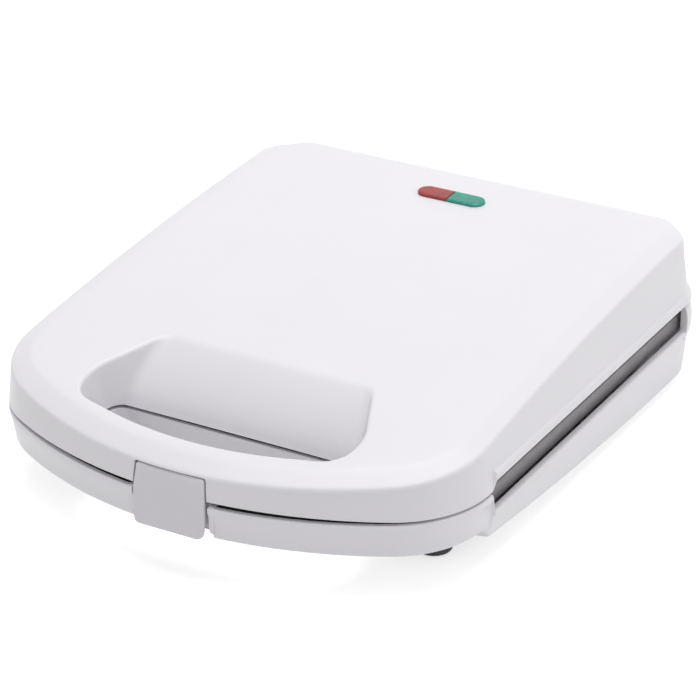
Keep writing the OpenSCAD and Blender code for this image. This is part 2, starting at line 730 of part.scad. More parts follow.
// The plate lies with its cooking face at height zero and its skirt below.
module plate() {
    difference() {
        union() {
            translate([0, 0, -plate_t]) linear_extrude(plate_t)
                round_rect(plate_half_w, plate_y0, plate_y1, plate_corner);
            translate([0, 0, -skirt_h]) linear_extrude(skirt_h) difference() {
                round_rect(plate_half_w, plate_y0, plate_y1, plate_corner);
                round_rect(plate_half_w - plate_t, plate_y0 + plate_t, plate_y1 - plate_t,
                    plate_corner - plate_t);
            }
            translate([0, 0, -pocket_h - plate_t]) linear_extrude(pocket_h)
                round_rect(block_x, block_y0, block_y1, plate_corner);
        }
        for (sx = [0, 1], sy = [0, 1])
            mirror([sx, 0, 0])
                translate([cell_w / 2 + rib_w / 2, plate_mid + (2 * sy - 1) * (cell_l + rib_w) / 2, 0.01]) {
                mirror([1, 0, 0]) pocket_cut();
                mirror([0, 1, 0]) pocket_cut();
            }
        for (p = plate_screws) translate([p[0], p[1], 0]) {
            translate([0, 0, -far]) cylinder(h = 2 * far, r = screw_r + slack);
            translate([0, 0, -screw_head_h - 0.1])
                cylinder(h = screw_head_h + 0.2, r1 = screw_r + slack, r2 = screw_head_r + slack + 0.1);
        }
    }
}
module lower_plate() color(coating) at_frame() translate([0, 0, -plate_seam]) plate();
module upper_plate() color(coating) at_frame() translate([0, 0, upper_face]) mirror([0, 0, 1]) plate();
module plate_screw_set() {
    for (p = plate_screws) translate([p[0], p[1], -0.1])
        flat_screw(screw_r, screw_l + pocket_h, screw_head_r, screw_head_h);
}
module lower_plate_screws() color(steel) at_frame() translate([0, 0, -plate_seam]) plate_screw_set();
module upper_plate_screws() color(steel) at_frame() translate([0, 0, upper_face]) mirror([0, 0, 1])
    plate_screw_set();

// Heating element: one tube in a loop, its two ends leaving to the back
loop_y0 = 112;
loop_y1 = plate_y1 - loop_back;
loop_half_w = plate_half_w - loop_side;
end_x = 18;
end_bend = 14;
end_l = 12;
module tube_run(p, q) {
    v = q - p;
    translate([p[0], p[1], 0]) rotate([0, 90, atan2(v[1], v[0])]) cylinder(h = norm(v), r = element_d / 2);
}
module tube_bend(c, r, a0) {
    translate([c[0], c[1], 0]) rotate([0, 0, a0]) rotate_extrude(angle = 90) translate([r, 0])
        circle(r = element_d / 2);
}
module element() {
    x0 = loop_half_w - bend_r;
    y0 = loop_y0 + bend_r;
    y1 = loop_y1 - bend_r;
    tube_run([-x0, loop_y0], [x0, loop_y0]);
    both() {
        tube_bend([x0, y0], bend_r, -90);
        tube_run([loop_half_w, y0], [loop_half_w, y1]);
        tube_bend([x0, y1], bend_r, 0);
        tube_run([end_x + end_bend, loop_y1], [x0, loop_y1]);
        tube_bend([end_x + end_bend, loop_y1 + end_bend], end_bend, 180);
        tube_run([end_x, loop_y1 + end_bend], [end_x, loop_y1 + end_bend + end_l]);
        translate([end_x, loop_y1 + end_bend + end_l, 0]) rotate([-90, 0, 0])
            cylinder(h = 5, r = element_d / 2 - 0.6);
        translate([end_x, loop_y1 + end_bend + end_l, 0]) rotate([-90, 0, 0]) cylinder(h = 11, r = 1.2);
    }
}
element_z = plate_under + element_d / 2 + slack;
upper_element_z = upper_under + element_d / 2 + slack;
module lower_element() color(steel) at_frame() translate([0, 0, -element_z]) element();
module upper_element() color(steel) at_frame() translate([0, 0, upper_element_z]) element();

// Clips: a saddle over the tube, its two feet against the plate's underside
clip_foot = 5;
module clip() {
    translate([-4, 0, 0]) rotate([90, 0, 90]) linear_extrude(8) difference() {
        union() {
            circle(r = element_d / 2 + slack + 0.8);
            translate([-element_d / 2 - 0.9, 0]) square([element_d + 1.8, element_d / 2 + slack - 0.02]);
            translate([-element_d / 2 - clip_foot, element_d / 2 - 0.8])
                square([element_d + 2 * clip_foot, 0.8 + slack - 0.02]);
        }
        circle(r = element_d / 2 + slack);
        translate([-element_d / 2 - slack, 0]) square([element_d + 2 * slack, element_d]);
    }
}
module clips() {
    for (x = [-32, 32]) translate([x, loop_y0, 0]) clip();
    both() translate([loop_half_w, (loop_y0 + loop_y1) / 2, 0]) rotate([0, 0, 90]) clip();
}
module lower_element_clips() color(steel) at_frame() translate([0, 0, -element_z]) clips();
module upper_element_clips() color(steel) at_frame() translate([0, 0, upper_element_z]) mirror([0, 0, 1])
    clips();

// Reflector: a shallow sheet tray over the element, open at the back for its ends
tray_y0 = loop_y0 - 12;
tray_wall = 7;
tray_half_w = plate_half_w - tray_side;
tray_l = plate_y1 - tray_back - tray_y0;
tray_z = plate_under + slack + tray_wall + sheet_t;
upper_tray_z = upper_under + slack + tray_wall + sheet_t;
module tray() {
    difference() {
        box(-tray_half_w, tray_half_w, tray_y0, tray_y0 + tray_l, 0, tray_wall + sheet_t);
        box(-tray_half_w + sheet_t, tray_half_w - sheet_t, tray_y0 + sheet_t, tray_y0 + tray_l - sheet_t,
            sheet_t, far);
        for (x = [-end_x, end_x])
            box(x - element_d / 2 - 1, x + element_d / 2 + 1, tray_y0 + tray_l - 5, tray_y0 + tray_l + 5,
                sheet_t, far);
        for (i = [1, 2]) translate([0, plate_screws[i][1], -far]) cylinder(h = 2 * far, r = boss_r + 0.4);
    }
}
module lower_reflector() color(steel) at_frame() translate([0, 0, -tray_z]) tray();
module upper_reflector() color(steel) at_frame() translate([0, 0, upper_tray_z]) mirror([0, 0, 1]) tray();

// Thermostat: a disc switch with a mounting flange against the lower plate
thermo_x = plate_half_w / 2 + 1;
thermo_y = block_y1 - 12.5;
thermo_r = 8;
thermo_ear = 13;
thermo_cap_z = 8.8;
tab_h = 5.2;
module thermostat() color([0.75, 0.7, 0.6]) at_frame()
    translate([thermo_x, thermo_y, -plate_under - slack]) mirror([0, 0, 1]) {
    cylinder(h = 3.4, r = thermo_r);
    translate([0, 0, 3.4]) cylinder(h = thermo_cap_z - 3.4, r = thermo_r - 0.9);
    difference() {
        box(-thermo_ear, thermo_ear, -3, 3, 0, 0.8);
        both() translate([thermo_ear - 2.5, 0, -past]) cylinder(h = 3, r = 1.3);
    }
    both() {
        box(3.4, 4.2, -3, 3, thermo_cap_z, thermo_cap_z + tab_h);
        translate([thermo_ear - 2.5, 0, 0.8]) cylinder(h = 1.6, r = 2.2);
    }
}

// Thermal fuse: a sleeve held in a strap against the lower plate
module thermal_fuse() color([0.85, 0.82, 0.75]) at_frame()
    translate([-thermo_x, thermo_y, -plate_under - slack]) mirror([0, 0, 1]) {
    rod_x(-11, 11, 0, 2.8, 2.7);
    rod_x(-16, 16, 0, 2.8, 0.6);
    box(-4, 4, -3.4, 3.4, 0, 0.7);
    both() box(2.5, 4, -3.4, 3.4, 0, 6.4);
    box(-4, 4, -3.4, 3.4, 5.6, 6.4);
}

// Terminal block on a rib of the base's floor
block_w = 28;
terminal_x = 34;
terminal_y = body_d - 61.5;
terminal_floor = belly_z(terminal_y - 6.5) - base_crown + wall;
module terminal_block() color([0.88, 0.87, 0.82]) at_frame()
    translate([terminal_x, terminal_y, terminal_floor + slack]) difference() {
    union() {
        box(-block_w / 2, block_w / 2, -6.5, 6.5, 0, 5);
        for (i = [-1:1]) box(i * 9 - 3.8, i * 9 + 3.8, -6.5, 6.5, 4, 9.5);
    }
    for (i = [-1:1]) {
        translate([i * 9, 0, 5]) rotate([90, 0, 0]) cylinder(h = 20, r = 1.9, center = true);
        for (y = [-3.6, 3.6]) translate([i * 9, y, 5]) cylinder(h = 6, r = 1.6);
    }
}

// Bush that the mains lead enters through: a flange, a neck in the wall and an inner flange
inlet_l = 13;
inlet_flange = 1.3;
module cord_inlet() color([0.16, 0.16, 0.17]) at_frame()
translate([0, pad_face + inlet_flange, -inlet_z]) rotate([90, 0, 0]) difference() {
    union() {
        cylinder(h = inlet_flange, r1 = bush_r + 1.2, r2 = bush_r + 1.7);
        cylinder(h = inlet_l, r = bush_r);
        translate([0, 0, inlet_flange + pad_l + slack]) cylinder(h = 1.5, r = bush_r + 1.2);
    }
    translate([0, 0, -past]) cylinder(h = inlet_l + 2 * past, r = inlet_r);
}

// Earth tag bolted to the lower plate's underside
module earth_tag() color("goldenrod") at_frame() translate([0, block_y1 - 3, 0]) {
    translate([-26, -6, -plate_under - slack]) mirror([0, 0, 1]) {
        cylinder(h = 0.8, r = 3.6);
        translate([0, 0, 0.8]) cylinder(h = 2.2, r = 2.6);
        box(-1.6, 1.6, 2, 10, 0, 0.8);
    }
}

// Leads: round runs with rounded elbows
module lead(points, r) {
    for (i = [0:len(points) - 2]) {
        v = points[i + 1] - points[i];
        translate(points[i]) rotate([0, acos(v[2] / norm(v)), atan2(v[1], v[0])])
            cylinder(h = norm(v), r = r);
        if (i > 0) translate(points[i]) sphere(r = r + 0.08);
    }
}
lead_r = 1.1;
lead_z = -27;
module base_wiring() color([0.75, 0.2, 0.15]) at_frame() {
    end_y = loop_y1 + end_bend + end_l + 11;
    for (side = [-1, 1])
        lead([
            [side * end_x, end_y + 0.1, -element_z],
            [side * end_x, end_y + 4.6, -element_z],
            [side * (end_x + 1), end_y + 4.6, lead_z],
            [terminal_x + side * 9, terminal_y + 24, lead_z - 1],
            [terminal_x + side * 9, terminal_y + 6.6, terminal_floor + 5.1]
        ], lead_r);
}

module foot(h) {
    rotate_extrude() polygon([
        [0, 0], [foot_r - 2.2, 0], [foot_r - 0.8, 0.6], [foot_r, min(2, h / 2)], [foot_r, h],
            [foot_stem_r, h],
        [foot_stem_r, h + 5], [0, h + 5]
    ]);
}
module front_feet() color([0.22, 0.22, 0.24]) at_frame() both()
    translate([front_foot_x, front_foot_y, -stand_h]) foot(stand_h - front_seat);
module rear_feet() color([0.22, 0.22, 0.24]) at_frame() both()
    translate([rear_foot_x, rear_foot_y, -stand_h]) foot(stand_h - rear_seat);

// Hinge housing: the middle barrel and the two outer lugs on one foot
module hinge_housing() color(white) at_frame() difference() {
    union() {
        rod_x(-barrel_half_l, barrel_half_l, hinge_y, hinge_z, barrel_r);
        both() rod_x(lug_x0, lug_x1, hinge_y, hinge_z, barrel_r);
        both() box(lug_x0, lug_x1, web_y0, web_y1, web_foot, hinge_z);
        box(-barrel_half_l, barrel_half_l, web_y0, web_y1, web_foot, hinge_z);
        box(-lug_x1, lug_x1, web_y0, web_y1, web_foot, web_foot + 12);
        box(-barrel_half_l, barrel_half_l, housing_screw_y - 5, web_y1, web_foot, web_foot + housing_t);
    }
    both() rod_x(barrel_half_l - pin_depth, lug_x1 + past, hinge_y, hinge_z, pin_r + held_fit);
    for (x = housing_screw_xs) translate([x, housing_screw_y, -far])
        cylinder(h = 2 * far, r = screw_r + slack);
}
pin_depth = 18;
module hinge_pins() color(steel) at_frame() both()
    rod_x(barrel_half_l - pin_depth + 0.3, lug_x1 - 0.3, hinge_y, hinge_z, pin_r);
module housing_screws() color(steel) at_frame()
    for (x = housing_screw_xs) translate([x, housing_screw_y, web_foot + housing_t])
        screw(screw_r, 10, 2.8, 1.8);

// Hinge arms: a knuckle, an upright and a flange screwed to the lid
arm_screw_xs = [knuckle_x0 + knuckle_l / 2];
arm_screw_y = arm_y0 + 6;
module hinge_arms() color(steel) at_frame() both() difference() {
    union() {
        rod_x(knuckle_x0, knuckle_x1, hinge_y, hinge_z, barrel_r - 0.2);
        box(knuckle_x0, knuckle_x1, hinge_y - barrel_r + 0.4, hinge_y - barrel_r + 0.4 + arm_t, hinge_z,
            arm_flange_z + arm_t);
        box(knuckle_x0, knuckle_x1, arm_y0, hinge_y - barrel_r + 0.4 + arm_t, arm_flange_z,
            arm_flange_z + arm_t);
    }
    rod_x(knuckle_x0 - past, knuckle_x1 + past, hinge_y, hinge_z, pin_r + run_fit);
    for (x = arm_screw_xs) translate([x, arm_screw_y, 0]) cylinder(h = far, r = screw_r + slack);
}
module hinge_arm_screws() color(steel) at_frame() both()
    for (x = arm_screw_xs) translate([x, arm_screw_y, arm_flange_z]) mirror([0, 0, 1])
        screw(screw_r, 9, 2.8, 1.8);

// Indicator lenses: two halves of one stadium, seated in the lid's top
lens_lip = 1;
holder_z = lid_z(lens_y) + lid_crown - 16;
module lens_place() {
    translate([0, lens_y, lid_z(lens_y) + lid_crown]) rotate([lid_slope(lens_y), 0, 0]) children();
}
module stadium(l, w) {
    intersection() {
        union() {
            square([l - w, w], center = true);
            translate([(l - w) / 2, 0]) circle(r = w / 2);
            translate([-(l - w) / 2, 0]) circle(r = w / 2);
        }
        square([l, w], center = true);
    }
}
module lens_pair() {
    linear_extrude(lens_out - 0.5) stadium(lens_l, lens_w);
    translate([0, 0, lens_out - 0.6]) linear_extrude(0.6) stadium(lens_l - 0.9, lens_w - 0.9);
    translate([0, 0, -wall - 2]) linear_extrude(wall + 2.1)
        stadium(lens_l - 2 * lens_lip - 0.3, lens_w - 2 * lens_lip - 0.3);
}
module lens_red() color([0.72, 0.16, 0.14]) at_frame() lens_place() intersection() {
    lens_pair();
    box(-far, -0.05, -far, far, -far, far);
}
module lens_green() color([0.1, 0.62, 0.5]) at_frame() lens_place() intersection() {
    lens_pair();
    box(0.05, far, -far, far, -far, far);
}
module lamp_holder() color([0.85, 0.85, 0.83]) at_frame() difference() {
    box(-lens_l / 2 - 2.9, lens_l / 2 + 2.9, lens_y - 6, lens_y + 6, holder_z, holder_z + 9);
    for (x = [-9, 9]) translate([x, lens_y, holder_z - past]) cylinder(h = far, r = neon_r + held_fit);
}
module neon_lamps() color([0.9, 0.75, 0.6]) at_frame()
    for (x = [-9, 9]) translate([x, lens_y, holder_z - 1]) {
        cylinder(h = 9, r = neon_r);
        translate([0, 0, 9]) sphere(r = neon_r);
    }
module lid_wiring() color([0.2, 0.3, 0.7]) at_frame() {
    end_y = loop_y1 + end_bend + end_l + 11;
    for (side = [-1, 1])
        lead([
            [side * 9, lens_y, holder_z - 1.1],
            [side * 9, lens_y, holder_z - 4],
            [side * end_x, end_y + 5, holder_z - 4],
            [side * end_x, end_y + 5, upper_element_z],
            [side * end_x, end_y + 0.1, upper_element_z]
        ], lead_r);
}

// Latch: its face follows the curved front, with a barrel on the pin and a hook below
hook_half = 12;
hook_t = 2.1;
hook_reach = 2;
barrel_half = 12;
notch_gap = 0.8;
notch_rise = 1.1;
top_round = 1.2;
bottom_round = 3.4;
bottom_taper = 0.6;
belly_low = 8;
taper_z = 0.7;
rise_half = latch_w / 2 - latch_taper - 0.4;
module along_front() {
    // carries an outline in distance from the front wall and height along the curved front
    half_angle = asin((latch_w / 2 + 2 * latch_gap) / front_r);
    translate([0, front_r, 0]) rotate([0, 0, -90 - half_angle])
        rotate_extrude(angle = 2 * half_angle, $fn = front_fn) translate([front_r, 0]) children();
}
module latch_plan(g, top, low) {
    // the latch seen from the front, grown by a gap on both sides and narrower at both ends
    x = latch_w / 2 + g;
    x_top = x - latch_taper;
    x_low = x - bottom_taper;
    polygon(concat(
        [[-x, taper_z]],
        corner_arc([-x, taper_z], [-x_top, top], [x_top, top], top_round),
        corner_arc([-x_top, top], [x_top, top], [x, taper_z], top_round),
        [[x, taper_z], [x, -taper_z - belly_low]],
        corner_arc([x, -taper_z - belly_low], [x_low, -low], [-x_low, -low], bottom_round),
        corner_arc([x_low, -low], [-x_low, -low], [-x, -taper_z - belly_low], bottom_round),
        [[-x, -taper_z - belly_low]]
    ));
}
function latch_face(z) = latch_out - latch_lean * pow(max(0, z + belly_low) / (latch_top + belly_low), 2);
module latch_profile() {
    // distance out of the front wall and height: the bulging face, its lip, then the inner side
    face = [for (i = [0:4]) let (z = mix(latch_top - 1, -belly_low, i / 4)) [latch_face(z), z]];
    back = [for (i = [0:3]) let (z = mix(-belly_low, latch_top, i / 3)) [latch_face(z) - latch_t, z]];
    polygon(concat(
        [[latch_face(latch_top) - 0.8, latch_top], [latch_face(latch_top) - 0.3, latch_top - 0.15],
            [latch_face(latch_top) - 0.03, latch_top - 0.5]],
        face,
        [[latch_out, 6 - latch_bottom], [latch_out + 0.25, 4.2 - latch_bottom],
            [latch_out + lip_kick, 0.9 - latch_bottom], [latch_out + lip_kick - 0.3, 0.2 - latch_bottom],
            [latch_out + lip_kick - 1, -latch_bottom], [latch_out - latch_t + 0.8, 0.8 - latch_bottom],
            [latch_out - latch_t, 2.4 - latch_bottom]],
        back
    ));
}
module latch() color([0.88, 0.87, 0.9]) at_frame() difference() {
    inner = latch_t - latch_out;
    union() {
        intersection() {
            along_front() latch_profile();
            rotate([90, 0, 0]) linear_extrude(2 * far, center = true)
                latch_plan(0, latch_top, latch_bottom);
        }
        rod_x(-barrel_half, barrel_half, pivot_y, pivot_z, latch_barrel_r);
        along_x(-barrel_half, barrel_half) polygon([
            [inner - 0.4, pivot_z - latch_barrel_r + 0.2], [pivot_y + 0.4, pivot_z - latch_barrel_r + 0.2],
            [pivot_y + 0.4, pivot_z + latch_barrel_r - 0.2], [latch_lean - latch_out + 1.2, latch_top - 1.4]
        ]);
        along_x(-hook_half, hook_half) polygon([
            [inner - 0.6, -catch_z - catch_gap], [catch_y + hook_reach, -catch_z - catch_gap],
            [catch_y + hook_reach, -catch_z - catch_gap - hook_t + 0.8],
            [catch_y + hook_reach - 0.8, -catch_z - catch_gap - hook_t],
            [inner - 0.6, -catch_z - catch_gap - hook_t]
        ]);
        for (x = [-hook_half + 1, 0, hook_half - 1]) along_x(x - 0.8, x + 0.8) polygon([
            [inner - 0.4, -catch_z + 7], [inner + 0.6, -catch_z + 6], [4.6, -catch_z - catch_gap + 0.1],
            [4.6, -catch_z - catch_gap - 0.1], [inner - 0.4, -catch_z - catch_gap - 0.1]
        ]);
    }
    rod_x(-far, far, pivot_y, pivot_z, latch_pin_r + run_fit);
    both() rod_x(barrel_half + 0.1, bracket_half + 0.3, pivot_y, pivot_z, ear_r + 0.25);
}
bracket_half = 15;
bracket_back = 13;
bracket_top = latch_top + 1;
bracket_screw_x = 10;
bracket_screw_y = 11;
bracket_screw_r = 1.2;
ear_r = 1.9;
module latch_bracket() color([0.85, 0.85, 0.87]) at_frame() difference() {
    union() {
        both() {
            rod_x(barrel_half + 0.4, bracket_half, pivot_y, pivot_z, ear_r);
            box(barrel_half + 0.4, bracket_half, pivot_y, bracket_back, pivot_z - ear_r, pivot_z + ear_r);
        }
        box(-bracket_half, bracket_half, bracket_back - 4.6, bracket_back, pivot_z - ear_r,
            bracket_top - slack);
    }
    rod_x(-far, far, pivot_y, pivot_z, latch_pin_r + held_fit);
    both() translate([bracket_screw_x, bracket_screw_y, 0]) cylinder(h = far, r = bracket_screw_r + slack);
}
module bracket_screws() color(steel) at_frame() both()
    translate([bracket_screw_x, bracket_screw_y, pivot_z - ear_r]) mirror([0, 0, 1])
        screw(bracket_screw_r, 11, 2.1, 1.3);
module latch_pin() color(steel) at_frame()
    rod_x(-bracket_half + 0.1, bracket_half - 0.1, pivot_y, pivot_z, latch_pin_r);

base_shell();
base_grip_cover();
lower_plate();
lower_plate_screws();
lower_element();
lower_element_clips();
lower_reflector();
thermostat();
thermal_fuse();
terminal_block();
cord_inlet();
earth_tag();
base_wiring();
front_feet();
rear_feet();
hinge_housing();
hinge_pins();
housing_screws();
base_cover_screws();
lid_shell();
lid_grip_cover();
upper_plate();
upper_plate_screws();
upper_element();
upper_element_clips();
upper_reflector();
lens_red();
lens_green();
lamp_holder();
neon_lamps();
lid_wiring();
hinge_arms();
hinge_arm_screws();
lid_cover_screws();
latch_bracket();
bracket_screws();
latch();
latch_pin();
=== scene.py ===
import logging
import math
from dataclasses import dataclass, field
from enum import Enum
from typing import Callable, Iterable, Sequence

import bmesh
import bpy
from mathutils import Matrix, Vector
from mathutils.geometry import delaunay_2d_cdt


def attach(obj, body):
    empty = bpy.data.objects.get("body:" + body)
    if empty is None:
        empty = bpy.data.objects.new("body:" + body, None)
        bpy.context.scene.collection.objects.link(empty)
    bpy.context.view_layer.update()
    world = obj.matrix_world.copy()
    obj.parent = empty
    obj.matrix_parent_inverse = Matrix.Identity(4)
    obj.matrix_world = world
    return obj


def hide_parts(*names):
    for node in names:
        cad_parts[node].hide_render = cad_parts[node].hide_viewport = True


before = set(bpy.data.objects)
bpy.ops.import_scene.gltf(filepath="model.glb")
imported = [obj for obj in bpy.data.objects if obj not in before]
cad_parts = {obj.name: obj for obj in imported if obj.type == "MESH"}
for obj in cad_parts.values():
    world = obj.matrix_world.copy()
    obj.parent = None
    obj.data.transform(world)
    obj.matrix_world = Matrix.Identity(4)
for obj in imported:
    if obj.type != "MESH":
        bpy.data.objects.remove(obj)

LOG = logging.getLogger("toaster")
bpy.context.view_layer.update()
Point2 = tuple[float, float]
Point3 = tuple[float, float, float]
MM = 0.001


def mix(a: float, b: float, t: float) -> float:
    """Returns the value a fraction t of the way from a to b."""
    return a + (b - a) * t


def ease(t: float) -> float:
    """Returns a smooth step of t, flat at 0 and 1."""
    c = min(1.0, max(0.0, t))
    return c * c * (3 - 2 * c)


class Side(Enum):
    """Which shell a shape belongs to."""

    LID = "lid"
    BASE = "base"


@dataclass(frozen=True)
class Station:
    """A point of the body's outline with its inward normal, in millimetres."""

    x: float
    y: float
    nx: float
    ny: float

    def at(self, inset: float) -> Point2:
        """Returns the point that lies inset millimetres inside the outline."""
        return self.x + inset * self.nx, self.y + inset * self.ny


@dataclass(frozen=True)
class BodyForm:
    """Sizes that both shells share, in millimetres from the front wall and the parting line."""

    half_w: float = 126.5
    depth: float = 313.5
    front_r: float = 205.0
    corner_r: float = 52.0
    rear_r: float = 24.0
    wall: float = 2.5
    lid_front_h: float = 13.0
    lid_back_h: float = 40.5
    lid_bow: float = 6.4
    lid_crown: float = 3.75
    lid_draft: float = 3.2
    rear_lean: float = 3.7
    lip_out: float = 1.6
    lip_round: float = 0.8
    grip_h: float = 19.25
    belly_front_h: float = 16.5
    belly_back_h: float = 36.8
    belly_bow: float = 5.9
    belly_y: float = 69.0
    belly_run: float = 9.0
    base_draft: float = 2.2
    gap_y: float = 74.0
    gap_run: float = 2.0
    lid_side_rim: float = 5.75
    base_side_rim: float = 9.75
    base_back_rim: float = 13.5
    seam: float = 0.4
    seam_open: float = 0.8
    hand_front: float = 17.6
    hand_top_back: float = 90.0
    hand_back: float = 62.5
    hand_low_back: float = 75.0
    hand_half: float = 69.5
    hand_up: float = 30.6
    hand_down: float = 25.0
    stand_h: float = 41.0
    latch_reach: float = 2.5

    @property
    def centre_y(self) -> float:
        """Returns the depth of the box's centre behind the front wall."""
        back = self.depth + self.lip_out - self.lid_draft * (
            self.lid_side_rim + self.lip_round) / self.lid_back_h
        return (back - self.latch_reach) / 2

    @property
    def corner_at(self) -> Point2:
        """Returns the centre of the right front corner's arc."""
        x, inner = self.half_w - self.corner_r, self.front_r - self.corner_r
        return x, self.front_r - math.sqrt(inner * inner - x * x)

    @property
    def rear_at(self) -> Point2:
        """Returns the centre of the right rear corner's arc."""
        return self.half_w - self.rear_r, self.depth - self.rear_r

    @property
    def columns(self) -> list[float]:
        """Returns the columns of the points that fill a shell's large faces."""
        return [7.7 * i for i in range(-14, 15)]

    def bowed(self, h0: float, h1: float, bow: float, y: float) -> float:
        """Returns a height that runs from h0 to h1 and bows between them.

        Args:
            h0: Height at the front wall.
            h1: Height at the back wall.
            bow: Rise of the middle above a straight line.
            y: Distance from the front wall.

        Returns:
            The height at y.
        """
        t = y / self.depth
        return h0 + (h1 - h0) * t + 4 * bow * t * (1 - t)

    def lid_z(self, y: float) -> float:
        """Returns the height of the lid's shoulder."""
        return self.bowed(self.lid_front_h, self.lid_back_h, self.lid_bow, y)

    def lid_slope(self, y: float) -> float:
        """Returns the slope of the lid's top as an angle."""
        rise = self.lid_back_h - self.lid_front_h + 4 * self.lid_bow * (1 - 2 * y / self.depth)
        return math.atan(rise / self.depth)

    def lean(self, s: Station) -> float:
        """Returns how far the lid's wall leans in at its shoulder."""
        corner = 2 * self.rear_lean * max(0.0, -s.ny) * abs(s.nx)
        return self.lid_draft * self.lid_z(s.y) / self.lid_back_h + corner

    def shoulder_inset(self, x: float, y: float) -> float:
        """Returns how far a point lies inside the lid's shoulder."""
        rx, ry = self.rear_at
        dx, dy = abs(x) - rx, y - ry
        nx, ny = 0.0, 0.0
        if dx > 0 and dy > 0:
            nx, ny = -dx / math.hypot(dx, dy), -dy / math.hypot(dx, dy)
        return self.inset_of(x, y) - self.lean(Station(x, y, nx, ny))

    def base_z(self, y: float) -> float:
        """Returns the height of the base's lower edge."""
        belly = -self.bowed(self.belly_front_h, self.belly_back_h, self.belly_bow, y)
        return mix(-self.grip_h, belly, ease((y - self.belly_y) / self.belly_run))

    def side_part(self, y: float) -> float:
        """Returns 0 at the front and 1 where the gap between the shells is open."""
        return ease((y - self.gap_y) / self.gap_run)

    def seam_h(self, x: float) -> float:
        """Returns half the gap between the two grips."""
        return self.seam + self.seam_open * max(0.0, 1 - (x / (self.half_w - 10)) ** 2)

    def lid_rim(self, s: Station) -> float:
        """Returns the height of the lid's rim."""
        return mix(self.seam_h(s.x), self.lid_side_rim, self.side_part(s.y))

    def base_rim(self, s: Station) -> float:
        """Returns the height of the base's rim."""
        return -mix(self.seam_h(s.x) + self.seam, self.base_side_rim, self.side_part(s.y))

    def stations(self) -> list[Station]:
        """Returns the outline's stations, anticlockwise from the middle of the front."""
        (cx, cy), (rx, ry) = self.corner_at, self.rear_at
        end = -math.acos(cx / (self.front_r - self.corner_r))

        def arc(x: float, y: float, r: float, a: float) -> Station:
            """Returns the station at angle a of an arc."""
            return Station(x + r * math.cos(a), y + r * math.sin(a), -math.cos(a), -math.sin(a))

        start = -math.pi / 2
        right = [arc(0, self.front_r, self.front_r, mix(start, end, i / 22)) for i in range(23)]
        right += [arc(cx, cy, self.corner_r, end * (1 - i / 26)) for i in range(1, 27)]
        step_y = self.gap_y + self.belly_run / 2
        ys = [mix(cy, step_y, i / 14) for i in range(1, 15)]
        ys += [mix(step_y, ry, i / 34) for i in range(1, 35)]
        right += [Station(self.half_w, y, -1.0, 0.0) for y in ys]
        right += [arc(rx, ry, self.rear_r, math.pi / 2 * i / 22) for i in range(1, 23)]
        left = [Station(-s.x, s.y, -s.nx, s.ny) for s in reversed(right[1:])]
        return right + left

    def inset_of(self, x: float, y: float) -> float:
        """Returns how far a point lies inside the outline."""
        x = abs(x)
        (cx, cy), (rx, ry) = self.corner_at, self.rear_at
        if x > rx and y > ry:
            return self.rear_r - math.hypot(x - rx, y - ry)
        best = min(self.half_w - x, self.depth - y)
        if y >= cy:
            return best
        if x * (self.front_r - cy) > cx * (self.front_r - y):
            return min(best, self.corner_r - math.hypot(x - cx, y - cy))
        return min(best, self.front_r - math.hypot(x, y - self.front_r))


FORM = BodyForm()


def curve_at(table: Sequence[Point2], d: float) -> float:
    """Returns the value of a broken line at d.

    Args:
        table: Points (place, value) in rising order of place.
        d: The place asked for.

    Returns:
        The value, held at the ends.
    """
    if d <= table[0][0]:
        return table[0][1]
    for (d0, v0), (d1, v1) in zip(table, table[1:]):
        if d <= d1:
            return mix(v0, v1, (d - d0) / (d1 - d0))
    return table[-1][1]


def bent(p: Point2, q: Point2, r: Point2, cut: float, steps: int = 9) -> list[Point2]:
    """Returns the rounded corner at q.

    Args:
        p: The point before the corner.
        q: The corner itself.
        r: The point after the corner.
        cut: How far from the corner the rounding starts.
        steps: Faces of the rounding.

    Returns:
        Points of the rounding.
    """
    def toward(a: Point2, b: Point2) -> Point2:
        """Returns the point cut millimetres from a on the way to b."""
        n = math.hypot(b[0] - a[0], b[1] - a[1])
        return a[0] + (b[0] - a[0]) * cut / n, a[1] + (b[1] - a[1]) * cut / n

    a, b = toward(q, p), toward(q, r)
    return [rolled(a, q, b, i / steps) for i in range(steps + 1)]


def rolled(a: Sequence[float], q: Sequence[float], b: Sequence[float],
           t: float) -> tuple[float, ...]:
    """Returns the point a fraction t along the curve from a to b that q pulls."""
    return tuple(u * (1 - t) ** 2 + v * 2 * t * (1 - t) + w * t * t for u, v, w in zip(a, q, b))


